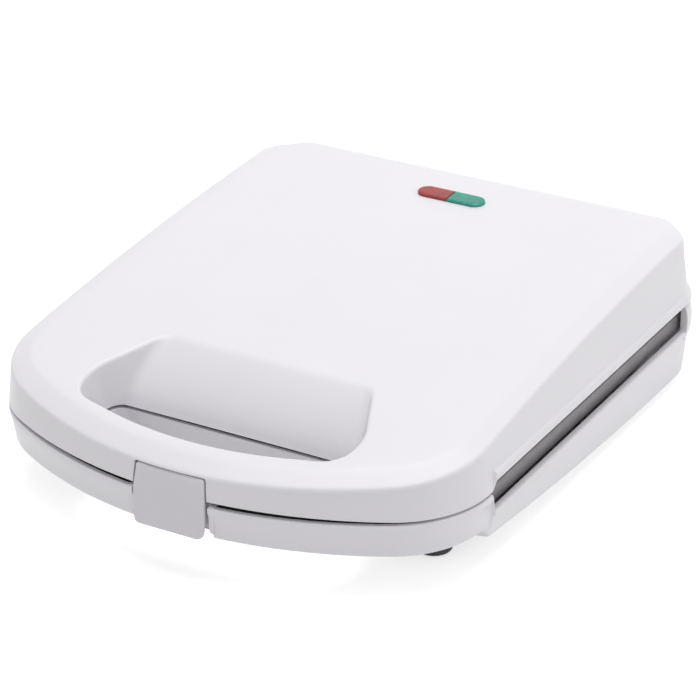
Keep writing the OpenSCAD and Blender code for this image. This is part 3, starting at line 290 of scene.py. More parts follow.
@dataclass(frozen=True)
class HandHole:
    """The hand hole through one shell, as closed outlines that change with height."""

    side: Side
    form: BodyForm = FORM
    wall_rings: int = 12
    fillet_rings: int = 6
    foot: float = 1.4

    @property
    def reach(self) -> float:
        """Returns the signed height over which the outline changes."""
        return self.form.hand_up if self.side is Side.LID else -self.form.hand_down

    def outline(self, level: float, grow: float) -> list[Point2]:
        """Returns the outline at one level.

        Args:
            level: 0 at the parting line, 1 at the full reach.
            grow: How far the outline is widened all round.

        Returns:
            The closed outline, anticlockwise from the middle of the front.
        """
        f, t, lid = self.form, min(1.0, level), self.side is Side.LID
        front = mix(f.hand_front + 2.4, f.hand_front if lid else f.hand_front + 0.9, t) - grow
        wide = mix(f.hand_half, f.hand_half + 3.3 if lid else f.hand_half - 2, t) + grow
        rise = t ** 1.6 if lid else t
        back = mix(f.hand_back, f.hand_top_back if lid else f.hand_low_back, rise) + grow
        v1 = (wide + (1.2 * t if lid else 0.0), 30 + t - grow)
        v2 = (wide, mix(f.hand_back - 5.5, 52 if lid else f.hand_low_back - 9, t) + grow / 2)
        v3 = (mix(f.hand_half - 3.5, 56.5 if lid else f.hand_half - 5.5, t) + grow * 0.8, back)
        cuts = (14.0, mix(3, 8 if lid else 4, t), mix(3, 6 if lid else 4, t))
        rf = f.front_r - front
        arc = [(x, f.front_r - math.sqrt(rf * rf - x * x)) for x in range(0, 53, 4)]
        half = arc + bent(arc[-1], v1, v2, cuts[0]) + bent(v1, v2, v3, cuts[1])
        half += bent(v2, v3, (0, back), cuts[2])
        half += [(mix(half[-1][0], 0.0, i / 8), back) for i in range(1, 8)]
        return half + [(0.0, back)] + [(-x, y) for x, y in reversed(half[1:])]

    def rise_to(self, surface: Callable[[float, float], float], grow: float,
                fillet: float) -> list[list[Point3]]:
        """Returns rings that climb the hole's wall and roll out onto a surface.

        Args:
            surface: Height of the surface at (x, y).
            grow: How far the outline is widened.
            fillet: Radius with which the wall turns into the surface.

        Returns:
            Rings of points, from the parting line to the surface.
        """
        steps, top = 96, 1.2
        fine = [self.outline(top * i / steps, grow) for i in range(steps + 1)]
        sign = 1.0 if self.side is Side.LID else -1.0
        count = len(fine[0])

        def place(level: float, k: int) -> Point3:
            """Returns the wall's point k at one level."""
            u = max(0.0, min(level / top * steps, steps - 1e-6))
            i = int(u)
            a, b = fine[i][k], fine[i + 1][k]
            return (mix(a[0], b[0], u - i), mix(a[1], b[1], u - i), level * self.reach)

        tops = []
        for k in range(count):
            low, high = 0.0, top
            for _ in range(22):
                mid = (low + high) / 2
                x, y, z = place(mid, k)
                if sign * (z - surface(x, y)) < 0:
                    low = mid
                else:
                    high = mid
            tops.append(low)
        edge = [place(tops[k], k) for k in range(count)]
        first, drop = self.foot / abs(self.reach), fillet / abs(self.reach)
        rings = [[place(mix(first, tops[k] - drop, i / self.wall_rings), k)
                  for k in range(count)] for i in range(self.wall_rings + 1)]
        if fillet <= 0:
            return rings
        outer = []
        for k in range(count):
            (x0, y0, _), (x1, y1, _) = edge[k - 1], edge[(k + 1) % count]
            n = math.hypot(x1 - x0, y1 - y0)
            x, y = edge[k][0] + (y1 - y0) / n * fillet, edge[k][1] - (x1 - x0) / n * fillet
            outer.append((x, y, surface(x, y)))
        start = rings[-1]
        for j in range(1, self.fillet_rings + 1):
            rings.append([rolled(start[k], edge[k], outer[k], j / self.fillet_rings)
                          for k in range(count)])
        return rings


@dataclass
class Builder:
    """Collects rings and patches of one closed mesh in millimetres."""

    points: list[Point3] = field(default_factory=list)
    faces: list[list[int]] = field(default_factory=list)

    def ring(self, points: Iterable[Point3]) -> list[int]:
        """Adds a ring of points and returns their numbers."""
        start = len(self.points)
        self.points += [tuple(p) for p in points]
        return list(range(start, len(self.points)))

    def strip(self, a: list[int], b: list[int]) -> None:
        """Joins two rings of the same length with a band of faces."""
        n = len(a)
        self.faces += [[a[i], a[(i + 1) % n], b[(i + 1) % n], b[i]] for i in range(n)]

    def sweep(self, rings: Sequence[list[int]]) -> None:
        """Joins a row of rings, each to the next."""
        for a, b in zip(rings, rings[1:]):
            self.strip(a, b)

    def patch(self, outer: list[int], holes: Sequence[list[int]],
              surface: Callable[[float, float], float], xs: Sequence[float] = (),
              ys: Sequence[float] = (), keep: float = 3.0) -> None:
        """Fills the area between an outer ring and any holes with a surface.

        Args:
            outer: Numbers of the outer ring.
            holes: Numbers of each inner ring.
            surface: Height of the surface at (x, y).
            xs: Columns of the points inside.
            ys: Rows of the points inside.
            keep: Least distance of an inside point from any ring.
        """
        loops = [outer, *holes]
        flat = [[Vector(self.points[i][:2]) for i in loop] for loop in loops]
        numbers = [i for loop in loops for i in loop]
        plan = [p for loop in flat for p in loop]
        edges, start = [], 0
        for loop in loops:
            n = len(loop)
            edges += [(start + i, start + (i + 1) % n) for i in range(n)]
            start += n

        def free(p: Vector) -> bool:
            """Returns whether a point lies in the area."""
            return inside(p, flat[0]) and not any(inside(p, hole) for hole in flat[1:])

        for y in ys:
            for x in xs:
                p = Vector((x, y))
                if free(p) and min((p - q).length for loop in flat for q in loop) > keep:
                    plan.append(p)
                    numbers.append(self.ring([(x, y, surface(x, y))])[0])
        sliver = 4e-3
        spots, _, tris, source, _, _ = delaunay_2d_cdt(plan, edges, [], 0, 1e-5)
        for tri in tris:
            a, b, c = (spots[i] for i in tri)
            if abs((b - a).cross(c - a)) > sliver and free((a + b + c) / 3):
                self.faces.append([numbers[source[i][0]] for i in tri])

    def solid(self, name: str) -> bpy.types.Object:
        """Returns the closed mesh as an object in millimetres, faces outwards."""
        mesh = bpy.data.meshes.new(name)
        mesh.from_pydata(self.points, [], self.faces)
        return outward(linked(name, mesh))


def inside(p: Vector, loop: Sequence[Vector]) -> bool:
    """Returns whether a point lies inside a closed outline."""
    odd = False
    q = loop[-1]
    for r in loop:
        if (r.y > p.y) != (q.y > p.y) and p.x < (q.x - r.x) * (p.y - r.y) / (q.y - r.y) + r.x:
            odd = not odd
        q = r
    return odd


def linked(name: str, mesh: bpy.types.Mesh) -> bpy.types.Object:
    """Returns a new object of the scene that holds a mesh."""
    obj = bpy.data.objects.new(name, mesh)
    bpy.context.scene.collection.objects.link(obj)
    return obj


def outward(obj: bpy.types.Object, merge: float = 1e-4) -> bpy.types.Object:
    """Merges an object's doubles, closes slivers and turns its faces outwards.

    Args:
        obj: The object, in any unit.
        merge: Distance under which points are one.

    Returns:
        The same object.
    """
    bm = bmesh.new()
    bm.from_mesh(obj.data)
    bmesh.ops.remove_doubles(bm, verts=bm.verts, dist=merge)
    bmesh.ops.holes_fill(bm, edges=[e for e in bm.edges if e.is_boundary], sides=4)
    bmesh.ops.recalc_face_normals(bm, faces=bm.faces)
    bm.to_mesh(obj.data)
    bm.free()
    return obj


def baked(obj: bpy.types.Object) -> bpy.types.Object:
    """Turns an object's modifiers into its mesh and returns the object."""
    graph = bpy.context.evaluated_depsgraph_get()
    mesh = bpy.data.meshes.new_from_object(obj.evaluated_get(graph))
    old = obj.data
    obj.modifiers.clear()
    obj.data = mesh
    bpy.data.meshes.remove(old)
    return obj


class Cut(Enum):
    """How one solid changes another."""

    ADD = "UNION"
    TAKE = "DIFFERENCE"
    KEEP = "INTERSECT"


def carve(obj: bpy.types.Object, tool: bpy.types.Object, cut: Cut) -> bpy.types.Object:
    """Joins a tool to a solid, or cuts it with the tool, and deletes the tool.

    Args:
        obj: The solid that changes.
        tool: The solid that is used up.
        cut: What is done with the tool.

    Returns:
        The changed solid.
    """
    before = len(obj.data.polygons), len(obj.data.vertices)
    modifier = obj.modifiers.new("cut", "BOOLEAN")
    modifier.solver = "MANIFOLD"
    modifier.operation = cut.value
    modifier.object = tool
    baked(obj)
    if before == (len(obj.data.polygons), len(obj.data.vertices)):
        raise ValueError(f"{tool.name} changed nothing of {obj.name}")
    bpy.data.objects.remove(tool)
    return obj


def prism(name: str, outline: Sequence[Point2], axis: str, start: float,
          end: float) -> bpy.types.Object:
    """Returns a straight prism in millimetres.

    Args:
        name: Name of the object.
        outline: The section's points, in the two axes other than the long one.
        axis: The long axis, "x", "y" or "z".
        start: Place of the first end on that axis.
        end: Place of the other end.

    Returns:
        The object.
    """
    made = Builder()
    rings = []
    for place in (start, end):
        order = {"x": lambda u, v: (place, u, v), "y": lambda u, v: (u, place, v),
                 "z": lambda u, v: (u, v, place)}[axis]
        rings.append(made.ring(order(u, v) for u, v in outline))
    made.sweep(rings)
    made.faces += [rings[0][::-1], rings[1]]
    return made.solid(name)


def block(name: str, xs: Point2, ys: Point2, zs: Point2) -> bpy.types.Object:
    """Returns a box in millimetres between pairs of places."""
    plan = [(xs[0], ys[0]), (xs[1], ys[0]), (xs[1], ys[1]), (xs[0], ys[1])]
    return prism(name, plan, "z", *zs)


def disc(x: float, y: float, r: float, steps: int = 48) -> list[Point2]:
    """Returns the points of a circle."""
    return [(x + r * math.cos(2 * math.pi * i / steps), y + r * math.sin(2 * math.pi * i / steps))
            for i in range(steps)]


def finished(obj: bpy.types.Object, sharp_deg: float = 32.0) -> bpy.types.Object:
    """Moves a mesh from millimetres at the parting line to its place in the frame.

    Args:
        obj: The object, with its mesh in millimetres.
        sharp_deg: Angle over which an edge stays sharp in shading.

    Returns:
        The same object.
    """
    place = Matrix.Diagonal((MM, MM, MM, 1)) @ Matrix.Translation(
        (0, -FORM.centre_y, FORM.stand_h))
    obj.data.transform(place)
    obj.data.shade_smooth()
    obj.data.set_sharp_from_angle(angle=math.radians(sharp_deg))
    return obj


@dataclass(frozen=True)
class LidShell:
    """The lid's moulded shell, with its lip, bevel, hand recess and latch notch."""

    form: BodyForm = FORM
    # (inset, height above the shoulder) of the rounded shoulder and the bevel
    TOP = ((0.0, -3.4), (0.02, -2.5), (0.06, -1.8), (0.2, -1.12), (0.48, -0.5), (0.95, -0.02),
           (1.7, 0.35), (2.8, 0.82), (4.0, 1.3), (5.2, 1.78), (6.4, 2.26), (7.3, 2.62),
           (8.2, 2.96), (9.1, 3.27), (10.0, 3.52), (10.9, 3.68), (12.0, 3.75))
    # (height above the rim, inset from the lip's face)
    RIM = ((0.0, 0.55), (0.07, 0.28), (0.24, 0.1), (0.6, 0.0), (1.3, 0.0), (2.6, 0.0),
           (3.3, 0.02), (3.7, 0.14), (4.0, 0.45), (4.25, 0.95), (4.45, 1.38), (4.8, 1.6),
           (5.6, 1.6))

    def top(self, x: float, y: float) -> float:
        """Returns the height of the lid's top."""
        return self.form.lid_z(y) + curve_at(self.TOP, self.form.shoulder_inset(x, y))

    def ceiling(self, x: float, y: float) -> float:
        """Returns the height of the lid's inner face."""
        return self.top(x, y) - self.form.wall

    def rim_ring(self, dz: float, inset: float, stay: float) -> list[Point3]:
        """Returns a ring along the lid's rim.

        Args:
            dz: Height above the rim.
            inset: Inset from the lip's outermost face, where there is a lip.
            stay: Inset where there is none.

        Returns:
            One point for each station.
        """
        f, ring = self.form, []
        for s in f.stations():
            q = f.lid_rim(s) + dz
            lean = q * f.lean(s) / f.lid_z(s.y)
            ring.append((*s.at(lean + mix(stay, inset - f.lip_out, f.side_part(s.y))), q))
        return ring

    def top_ring(self, inset: float, dz: float) -> list[Point3]:
        """Returns a ring of the shoulder or the bevel."""
        spots = [s.at(self.form.lean(s) + inset) for s in self.form.stations()]
        return [(x, y, self.form.lid_z(y) + dz) for x, y in spots]

    def build(self) -> bpy.types.Object:
        """Builds the shell in millimetres and returns it."""
        f, made = self.form, Builder()
        outer = [made.ring(self.rim_ring(dz, inset, inset if dz < 1 else 0.0))
                 for dz, inset in self.RIM]
        outer += [made.ring(self.top_ring(d, dz)) for d, dz in self.TOP[:-1]]
        made.sweep(outer)
        hole = HandHole(Side.LID, foot=1.9)
        rings = [made.ring(r) for r in hole.rise_to(self.top, 0.0, 2.0)]
        foot = [(x, y, f.seam_h(x)) for x, y in hole.outline(0.0, 0.5)]
        knee = [(x, y, f.seam_h(x) + 0.35) for x, y in hole.outline(0.0, 0.08)]
        rings = [made.ring(foot), made.ring(knee)] + rings
        made.sweep(rings)
        rows = [6 + 7 * i for i in range(45)]
        made.patch(outer[-1], [rings[-1]], self.top, f.columns, rows)
        inner = [made.ring(self.rim_ring(dz, f.wall + f.lip_out, f.wall))
                 for dz in (0.0, 3.0, 6.0)]
        inner += [made.ring(self.top_ring(f.wall, -3.4)),
                  made.ring(self.top_ring(f.wall + 1.8, -f.wall + 0.35)),
                  made.ring(self.top_ring(6.4, 2.26 - f.wall))]
        made.sweep(inner)
        made.strip(outer[0], inner[0])
        back = [made.ring(r) for r in hole.rise_to(self.ceiling, f.wall, 0.0)]
        base = made.ring((x, y, f.seam_h(x)) for x, y in hole.outline(0.0, f.wall))
        made.strip(rings[0], base)
        made.sweep([base] + back)
        made.patch(inner[-1], [back[-1]], self.ceiling, f.columns, rows)
        return made.solid("lid_case")


@dataclass(frozen=True)
class BaseShell:
    """The base's moulded shell, with its bead, grip, belly, ears, foot seats and vents."""

    form: BodyForm = FORM
    # (inset, height above the lower edge), from the wall to the bulging underside
    LOW = ((2.2, 3.6), (2.25, 2.9), (2.4, 2.2), (2.75, 1.45), (3.35, 0.82), (4.25, 0.33),
           (5.7, 0.0), (8.45, -0.42), (11.45, -0.86), (14.45, -1.28), (16.2, -1.5))
    # (inset, height above the rim) of the bead
    RIM = ((0.75, 0.0), (0.3, -0.05), (-0.1, -0.22), (-0.45, -0.52), (-0.6, -0.98), (-0.6, -2.2),
           (-0.5, -2.62), (-0.2, -2.95), (0.15, -3.17), (0.42, -3.5))
    # (height, inset) of the ears' bulging outer face
    BULGE = ((-15.75, 0.6), (-13.0, -0.3), (-10.75, -0.88), (-8.5, -1.25), (-6.0, -1.38),
             (-3.5, -1.34), (-1.0, -1.1), (1.0, -0.68), (2.6, -0.15), (3.6, 0.4),
             (4.25, 0.95), (4.5, 1.4))

    ear_y: Point2 = (289.0, 301.1)
    ear_low: float = -16.75
    ear_wide: float = 22.0
    room: float = 20.2
    room_flare: float = 2.6
    room_flare_h: float = 7.0
    room_back: float = 5.6
    catch_t: float = 2.5
    catch_z: Point2 = (-14.8, -1.2)
    finger_back: float = 17.0
    finger_top: float = -17.2
    seat_r: float = 10.2
    inlet_z: float = -25.0
    inlet_r: float = 6.3
    pad_r: float = 8.4
    far: float = 60.0

    def underside(self, x: float, y: float) -> float:
        """Returns the height of the base's underside."""
        return self.form.base_z(y) + curve_at(self.LOW, self.form.inset_of(x, y))

    def floor(self, x: float, y: float) -> float:
        """Returns the height of the base's inner floor."""
        return self.underside(x, y) + self.form.wall

    def rim_ring(self, inset: float, dz: float) -> list[Point3]:
        """Returns a ring along the base's rim."""
        f = self.form
        return [(*s.at(inset * (mix(0.35, 1, f.side_part(s.y)) if inset < 0 else 1)),
                 f.base_rim(s) + dz) for s in f.stations()]

    def low_ring(self, inset: float, dz: float) -> list[Point3]:
        """Returns a ring along the base's lower edge."""
        spots = [s.at(inset) for s in self.form.stations()]
        return [(x, y, self.form.base_z(y) + dz) for x, y in spots]

    def skin(self) -> bpy.types.Object:
        """Builds the closed wall and floor of the base in millimetres."""
        f, made = self.form, Builder()
        outer = [made.ring(self.rim_ring(d, dz)) for d, dz in self.RIM]
        outer += [made.ring(self.low_ring(d, dz)) for d, dz in self.LOW[:-2]]
        made.sweep(outer)
        hole = HandHole(Side.BASE, foot=1.4)
        lip = f.seam + 0.2
        foot = made.ring((x, y, -lip) for x, y in hole.outline(0.0, 0.5))
        knee = made.ring((x, y, -lip - 0.35) for x, y in hole.outline(0.0, 0.08))
        rings = [foot, knee] + [made.ring(r) for r in hole.rise_to(self.underside, 0.0, 1.2)]
        made.sweep(rings)
        rows = [6 + 6 * i for i in range(10)] + [65 + 2 * i for i in range(10)]
        rows += [88 + 8 * i for i in range(28)]
        made.patch(outer[-1], [rings[-1]], self.underside, f.columns, rows, 1.6)
        inner = [made.ring(self.rim_ring(f.wall, 0.0)),
                 made.ring(self.low_ring(f.base_draft + f.wall, f.wall + 2.5)),
                 made.ring(self.low_ring(f.base_draft + f.wall + 2.0, f.wall))]
        made.sweep(inner)
        made.strip(outer[0], inner[0])
        back = [made.ring(r) for r in hole.rise_to(self.floor, f.wall, 0.0)]
        base = made.ring((x, y, -lip) for x, y in hole.outline(0.0, f.wall))
        made.strip(foot, base)
        made.sweep([base] + back)
        made.patch(inner[-1], [back[-1]], self.floor, f.columns, rows, 1.6)
        return made.solid("base_case")

    def ears(self) -> bpy.types.Object:
        """Builds the two ears that carry the wall up behind the gap."""
        f, made = self.form, Builder()
        rings = [made.ring((*s.at(d), z) for s in f.stations()) for z, d in self.BULGE]
        made.sweep(rings)
        made.faces += [rings[0][::-1], rings[-1]]
        ear = made.solid("ears")
        reach, zs = (f.half_w - self.ear_wide, f.half_w + 10), (self.ear_low, self.far)
        sides = block("ear_left", (-reach[1], -reach[0]), self.ear_y, zs)
        carve(sides, block("ear_right", reach, self.ear_y, zs), Cut.ADD)
        carve(ear, sides, Cut.KEEP)
        plan = [s.at(f.wall) for s in f.stations()]
        carve(ear, prism("ear_room", plan, "z", -self.far, self.far), Cut.TAKE)
        return eased(ear, 1.9, 5)

    def room_plan(self) -> list[Point2]:
        """Returns the latch's room seen from the front, its lower corners flared."""
        right = [(self.room, 1.0)]
        right += [(self.room + self.room_flare * (i / 8) ** 1.4,
                   self.room_flare_h * (1 - i / 8) - self.form.grip_h) for i in range(9)]
        right += [(self.room + self.room_flare, -self.far)]
        return [(-x, z) for x, z in reversed(right)] + right

    def build(self) -> bpy.types.Object:
        """Builds the shell with all that is moulded to it, in millimetres."""
        f, case, room, far = self.form, self.skin(), self.room, self.far
        thick, front, back = self.catch_t, -6.0, self.room_back + self.catch_t
        carve(case, self.ears(), Cut.ADD)
        carve(case, block("latch_wall", (-room - thick, room + thick), (self.room_back, back),
                          self.catch_z), Cut.ADD)
        for side in (-1, 1):
            xs = sorted((side * room, side * (room + thick)))
            carve(case, block("cheek", (xs[0], xs[1]), (1.9, back), self.catch_z), Cut.ADD)
            for _, feet in FEET:
                top = f.base_z(feet.y) + f.wall
                seat = disc(side * feet.x, feet.y, self.seat_r)
                carve(case, prism("seat", seat, "z", feet.seat, top), Cut.ADD)
        pad, inlet = disc(0, self.inlet_z, self.pad_r), disc(0, self.inlet_z, self.inlet_r)
        carve(case, prism("pad", pad, "y", f.depth - 6.6, f.depth - 0.6), Cut.ADD)
        carve(case, prism("inlet_hole", inlet, "y", f.depth - 10, 330), Cut.TAKE)
        carve(case, prism("room", self.room_plan(), "y", front, self.room_back), Cut.TAKE)
        for name, ys, top in (("under_hook", (front, back), self.catch_z[0]),
                              ("finger_room", (8, self.finger_back), self.finger_top)):
            carve(case, block(name, (-room, room), ys, (-far, top)), Cut.TAKE)
        carve(case, block("rear_cut", (-132, 132), (self.ear_y[1], 320),
                          (-f.base_back_rim, far)), Cut.TAKE)
        return case


def eased(obj: bpy.types.Object, width: float, segments: int) -> bpy.types.Object:
    """Rounds an object's sharp edges.

    Args:
        obj: The object.
        width: Width of the rounding, in the mesh's unit.
        segments: Number of faces across it.

    Returns:
        The same object.
    """
    bevel = obj.modifiers.new("ease", "BEVEL")
    bevel.width = width
    bevel.segments = segments
    bevel.limit_method = "ANGLE"
    bevel.angle_limit = math.radians(40)
    bevel.use_clamp_overlap = True
    bevel.miter_outer = "MITER_ARC"
    return outward(baked(obj))


@dataclass(frozen=True)
class CookingPlate:
    """One cooking plate: a skirted flange and eight triangular pockets, in millimetres.

    The plate is made with its cooking face at height zero and its skirt below.
    """

    half_w: float = 122.1
    y0: float = 76.0
    y1: float = 291.0
    corner: float = 3.0
    tail: float = 5.5
    tail_x: float = 106.0
    thick: float = 2.5
    skirt: float = 9.0
    cell_w: float = 108.5
    cell_l: float = 95.25
    rib: float = 9.0
    ridge: float = 5.0
    deep: float = 9.5
    draft_deg: float = 22.0
    arc_steps: int = 8
    bar_x: tuple[float, ...] = (-116.3, 0.9, 115.9)
    bar_step: float = 9.1
    screw_r: float = 1.6
    head_r: float = 3.05

    @property
    def middle(self) -> float:
        """Returns the depth of the plate's centre."""
        return (self.y0 + self.y1) / 2

    def screws(self) -> list[Point2]:
        """Returns the places of the plate's screws."""
        side = (self.cell_w + self.rib / 2 + self.half_w) / 2 - 1
        return [(0, self.y0 + 14), (0, self.middle), (0, self.y1 - 36), (side, self.middle),
                (-side, self.middle)]

    def slab(self, grow: float, tail: float = 0.0) -> list[Point2]:
        """Returns the plate's rounded outline.

        Args:
            grow: How far it is grown.
            tail: How far the two rear corners reach past the rear edge.

        Returns:
            The outline.
        """
        x, y0, y1 = self.half_w + grow, self.y0 - grow, self.y1 + grow
        loop = rounded(-x, x, y0, y1 + tail, max(0.5, self.corner + grow), self.arc_steps)
        if not tail:
            return loop
        inner = self.tail_x - grow
        rear = [(inner, y1 + tail), (inner, y1), (-inner, y1), (-inner, y1 + tail)]
        cut = next(i for i, (p, q) in enumerate(zip(loop, loop[1:])) if p[0] > inner > q[0]
                   and p[1] > self.middle) + 1
        return loop[:cut] + rear + loop[cut:]

    def pocket(self) -> tuple[list[Point2], Point2, float]:
        """Returns a pocket's outline round its incentre, that centre and its radius."""
        w, h = self.cell_w, self.cell_l
        shift = self.ridge / 2 * math.hypot(w, h)
        a, b, c = (-w / 2, -h / 2), (w / 2 - shift / h, -h / 2), (-w / 2, h / 2 - shift / w)
        la, lb, lc = math.dist(b, c), math.dist(a, c), math.dist(a, b)
        s = (la + lb + lc) / 2
        radius = math.sqrt((s - la) * (s - lb) * (s - lc) / s)
        m = tuple((a[k] * la + b[k] * lb + c[k] * lc) / (la + lb + lc) for k in (0, 1))
        loop = bent(c, a, b, 7, 10) + bent(a, b, c, 12, 10) + bent(b, c, a, 12, 10)
        return [(x - m[0], y - m[1]) for x, y in loop], m, radius

    def pocket_rings(self, made: Builder, spot: Callable[[Point2], Point2]) -> list[list[int]]:
        """Adds the rings of one pocket from its rounded rim to its floor.

        Args:
            made: The mesh that is being made.
            spot: Places a point of the cell on the plate.

        Returns:
            The rings' numbers, the rim first.
        """
        loop, m, radius = self.pocket()
        slope = math.tan(math.radians(self.draft_deg)) / radius
        profile = ((1.1, 0.0), (0.55, -0.1), (0.18, -0.36), (0.0, -0.9), (0.0, -3.0), (0.0, -5.0),
                   (0.0, -6.6), (-0.25, -7.7), (-0.8, -8.6), (-1.7, -9.25), (-2.9, -self.deep))
        rings = []
        for grow, z in profile:
            scale = 1 + z * slope + grow / radius
            rings.append(made.ring((*spot((x * scale + m[0], y * scale + m[1])), z)
                                   for x, y in loop))
        return rings

    def build(self, name: str, face: float, flip: bool) -> bpy.types.Object:
        """Builds the plate in its place in millimetres.

        Args:
            name: Name of the object.
            face: Height of the cooking face.
            flip: Whether that face looks down.

        Returns:
            The object.
        """
        made = Builder()
        edge = ((-1.1, 0.0), (-0.5, -0.15), (-0.14, -0.5), (0.0, -1.1), (0.0, -self.skirt + 0.4),
                (-0.12, -self.skirt + 0.12), (-0.4, -self.skirt))
        outer = [made.ring((x, y, z) for x, y in self.slab(d, self.tail)) for d, z in edge]
        made.sweep(outer)
        holes = []
        for sx in (1, -1):
            for sy in (-1, 1):
                cx = sx * (self.cell_w + self.rib) / 2
                cy = self.middle + sy * (self.cell_l + self.rib) / 2
                for kx, ky in ((-1, 1), (1, -1)):
                    rings = self.pocket_rings(
                        made, lambda p: (cx + sx * kx * p[0], cy + ky * p[1]))
                    made.sweep(rings)
                    made.patch(rings[-1], [], lambda x, y: -self.deep)
                    holes.append(rings[0])
        for x, y in self.screws():
            sink = [made.ring((*p, z) for p in disc(x, y, r, 32)) for r, z in
                    ((self.head_r + 0.12, 0.0), (self.head_r, -0.12), (self.screw_r, -1.95),
                     (self.screw_r, -2.3))]
            made.sweep(sink)
            made.faces.append(sink[-1])
            holes.append(sink[0])
        ys = [self.y0 + 4.3 + self.bar_step * i for i in range(23)]
        made.patch(outer[0], holes, lambda x, y: 0.0, self.bar_x, ys, 1.5)
        under = [(-self.thick + 0.4, -self.skirt), (-self.thick, -self.skirt + 0.4),
                 (-self.thick, -self.thick - 0.8), (-self.thick - 0.8, -self.thick)]
        inner = [made.ring((x, y, z) for x, y in self.slab(d)) for d, z in under]
        made.patch(outer[-1], [inner[0]], lambda x, y: -self.skirt)
        made.sweep(inner)
        bx = self.cell_w + self.rib / 2 + self.thick
        by = self.rib / 2 + self.cell_l + self.thick
        body = [made.ring((x, y, z) for x, y in rounded(
            -bx + d, bx - d, self.middle - by + d, self.middle + by - d, self.corner - d,
            self.arc_steps)) for d, z in ((-0.6, -self.thick), (0.0, -self.thick - 0.8),
                                          (0.0, -self.deep - 1.6), (0.9, -self.deep - self.thick))]
        made.strip(inner[-1], body[0])
        made.sweep(body)
        made.faces.append(body[-1])
        if flip:
            made.points = [(x, y, -z) for x, y, z in made.points]
        made.points = [(x, y, z + face) for x, y, z in made.points]
        return made.solid(name)


def rounded(x0: float, x1: float, y0: float, y1: float, r: float,
            steps: int = 8) -> list[Point2]:
    """Returns a rectangle with rounded corners.

    Args:
        x0: Left side.
        x1: Right side.
        y0: Lower side.
        y1: Upper side.
        r: Radius of the corners.
        steps: Faces of each corner.

    Returns:
        The outline, anticlockwise.
    """
    made = []
    for cx, cy, start in ((x1 - r, y0 + r, -90), (x1 - r, y1 - r, 0), (x0 + r, y1 - r, 90),
                          (x0 + r, y0 + r, 180)):
        for i in range(steps + 1):
            a = math.radians(start + 90 * i / steps)
            made.append((cx + r * math.cos(a), cy + r * math.sin(a)))
    return made


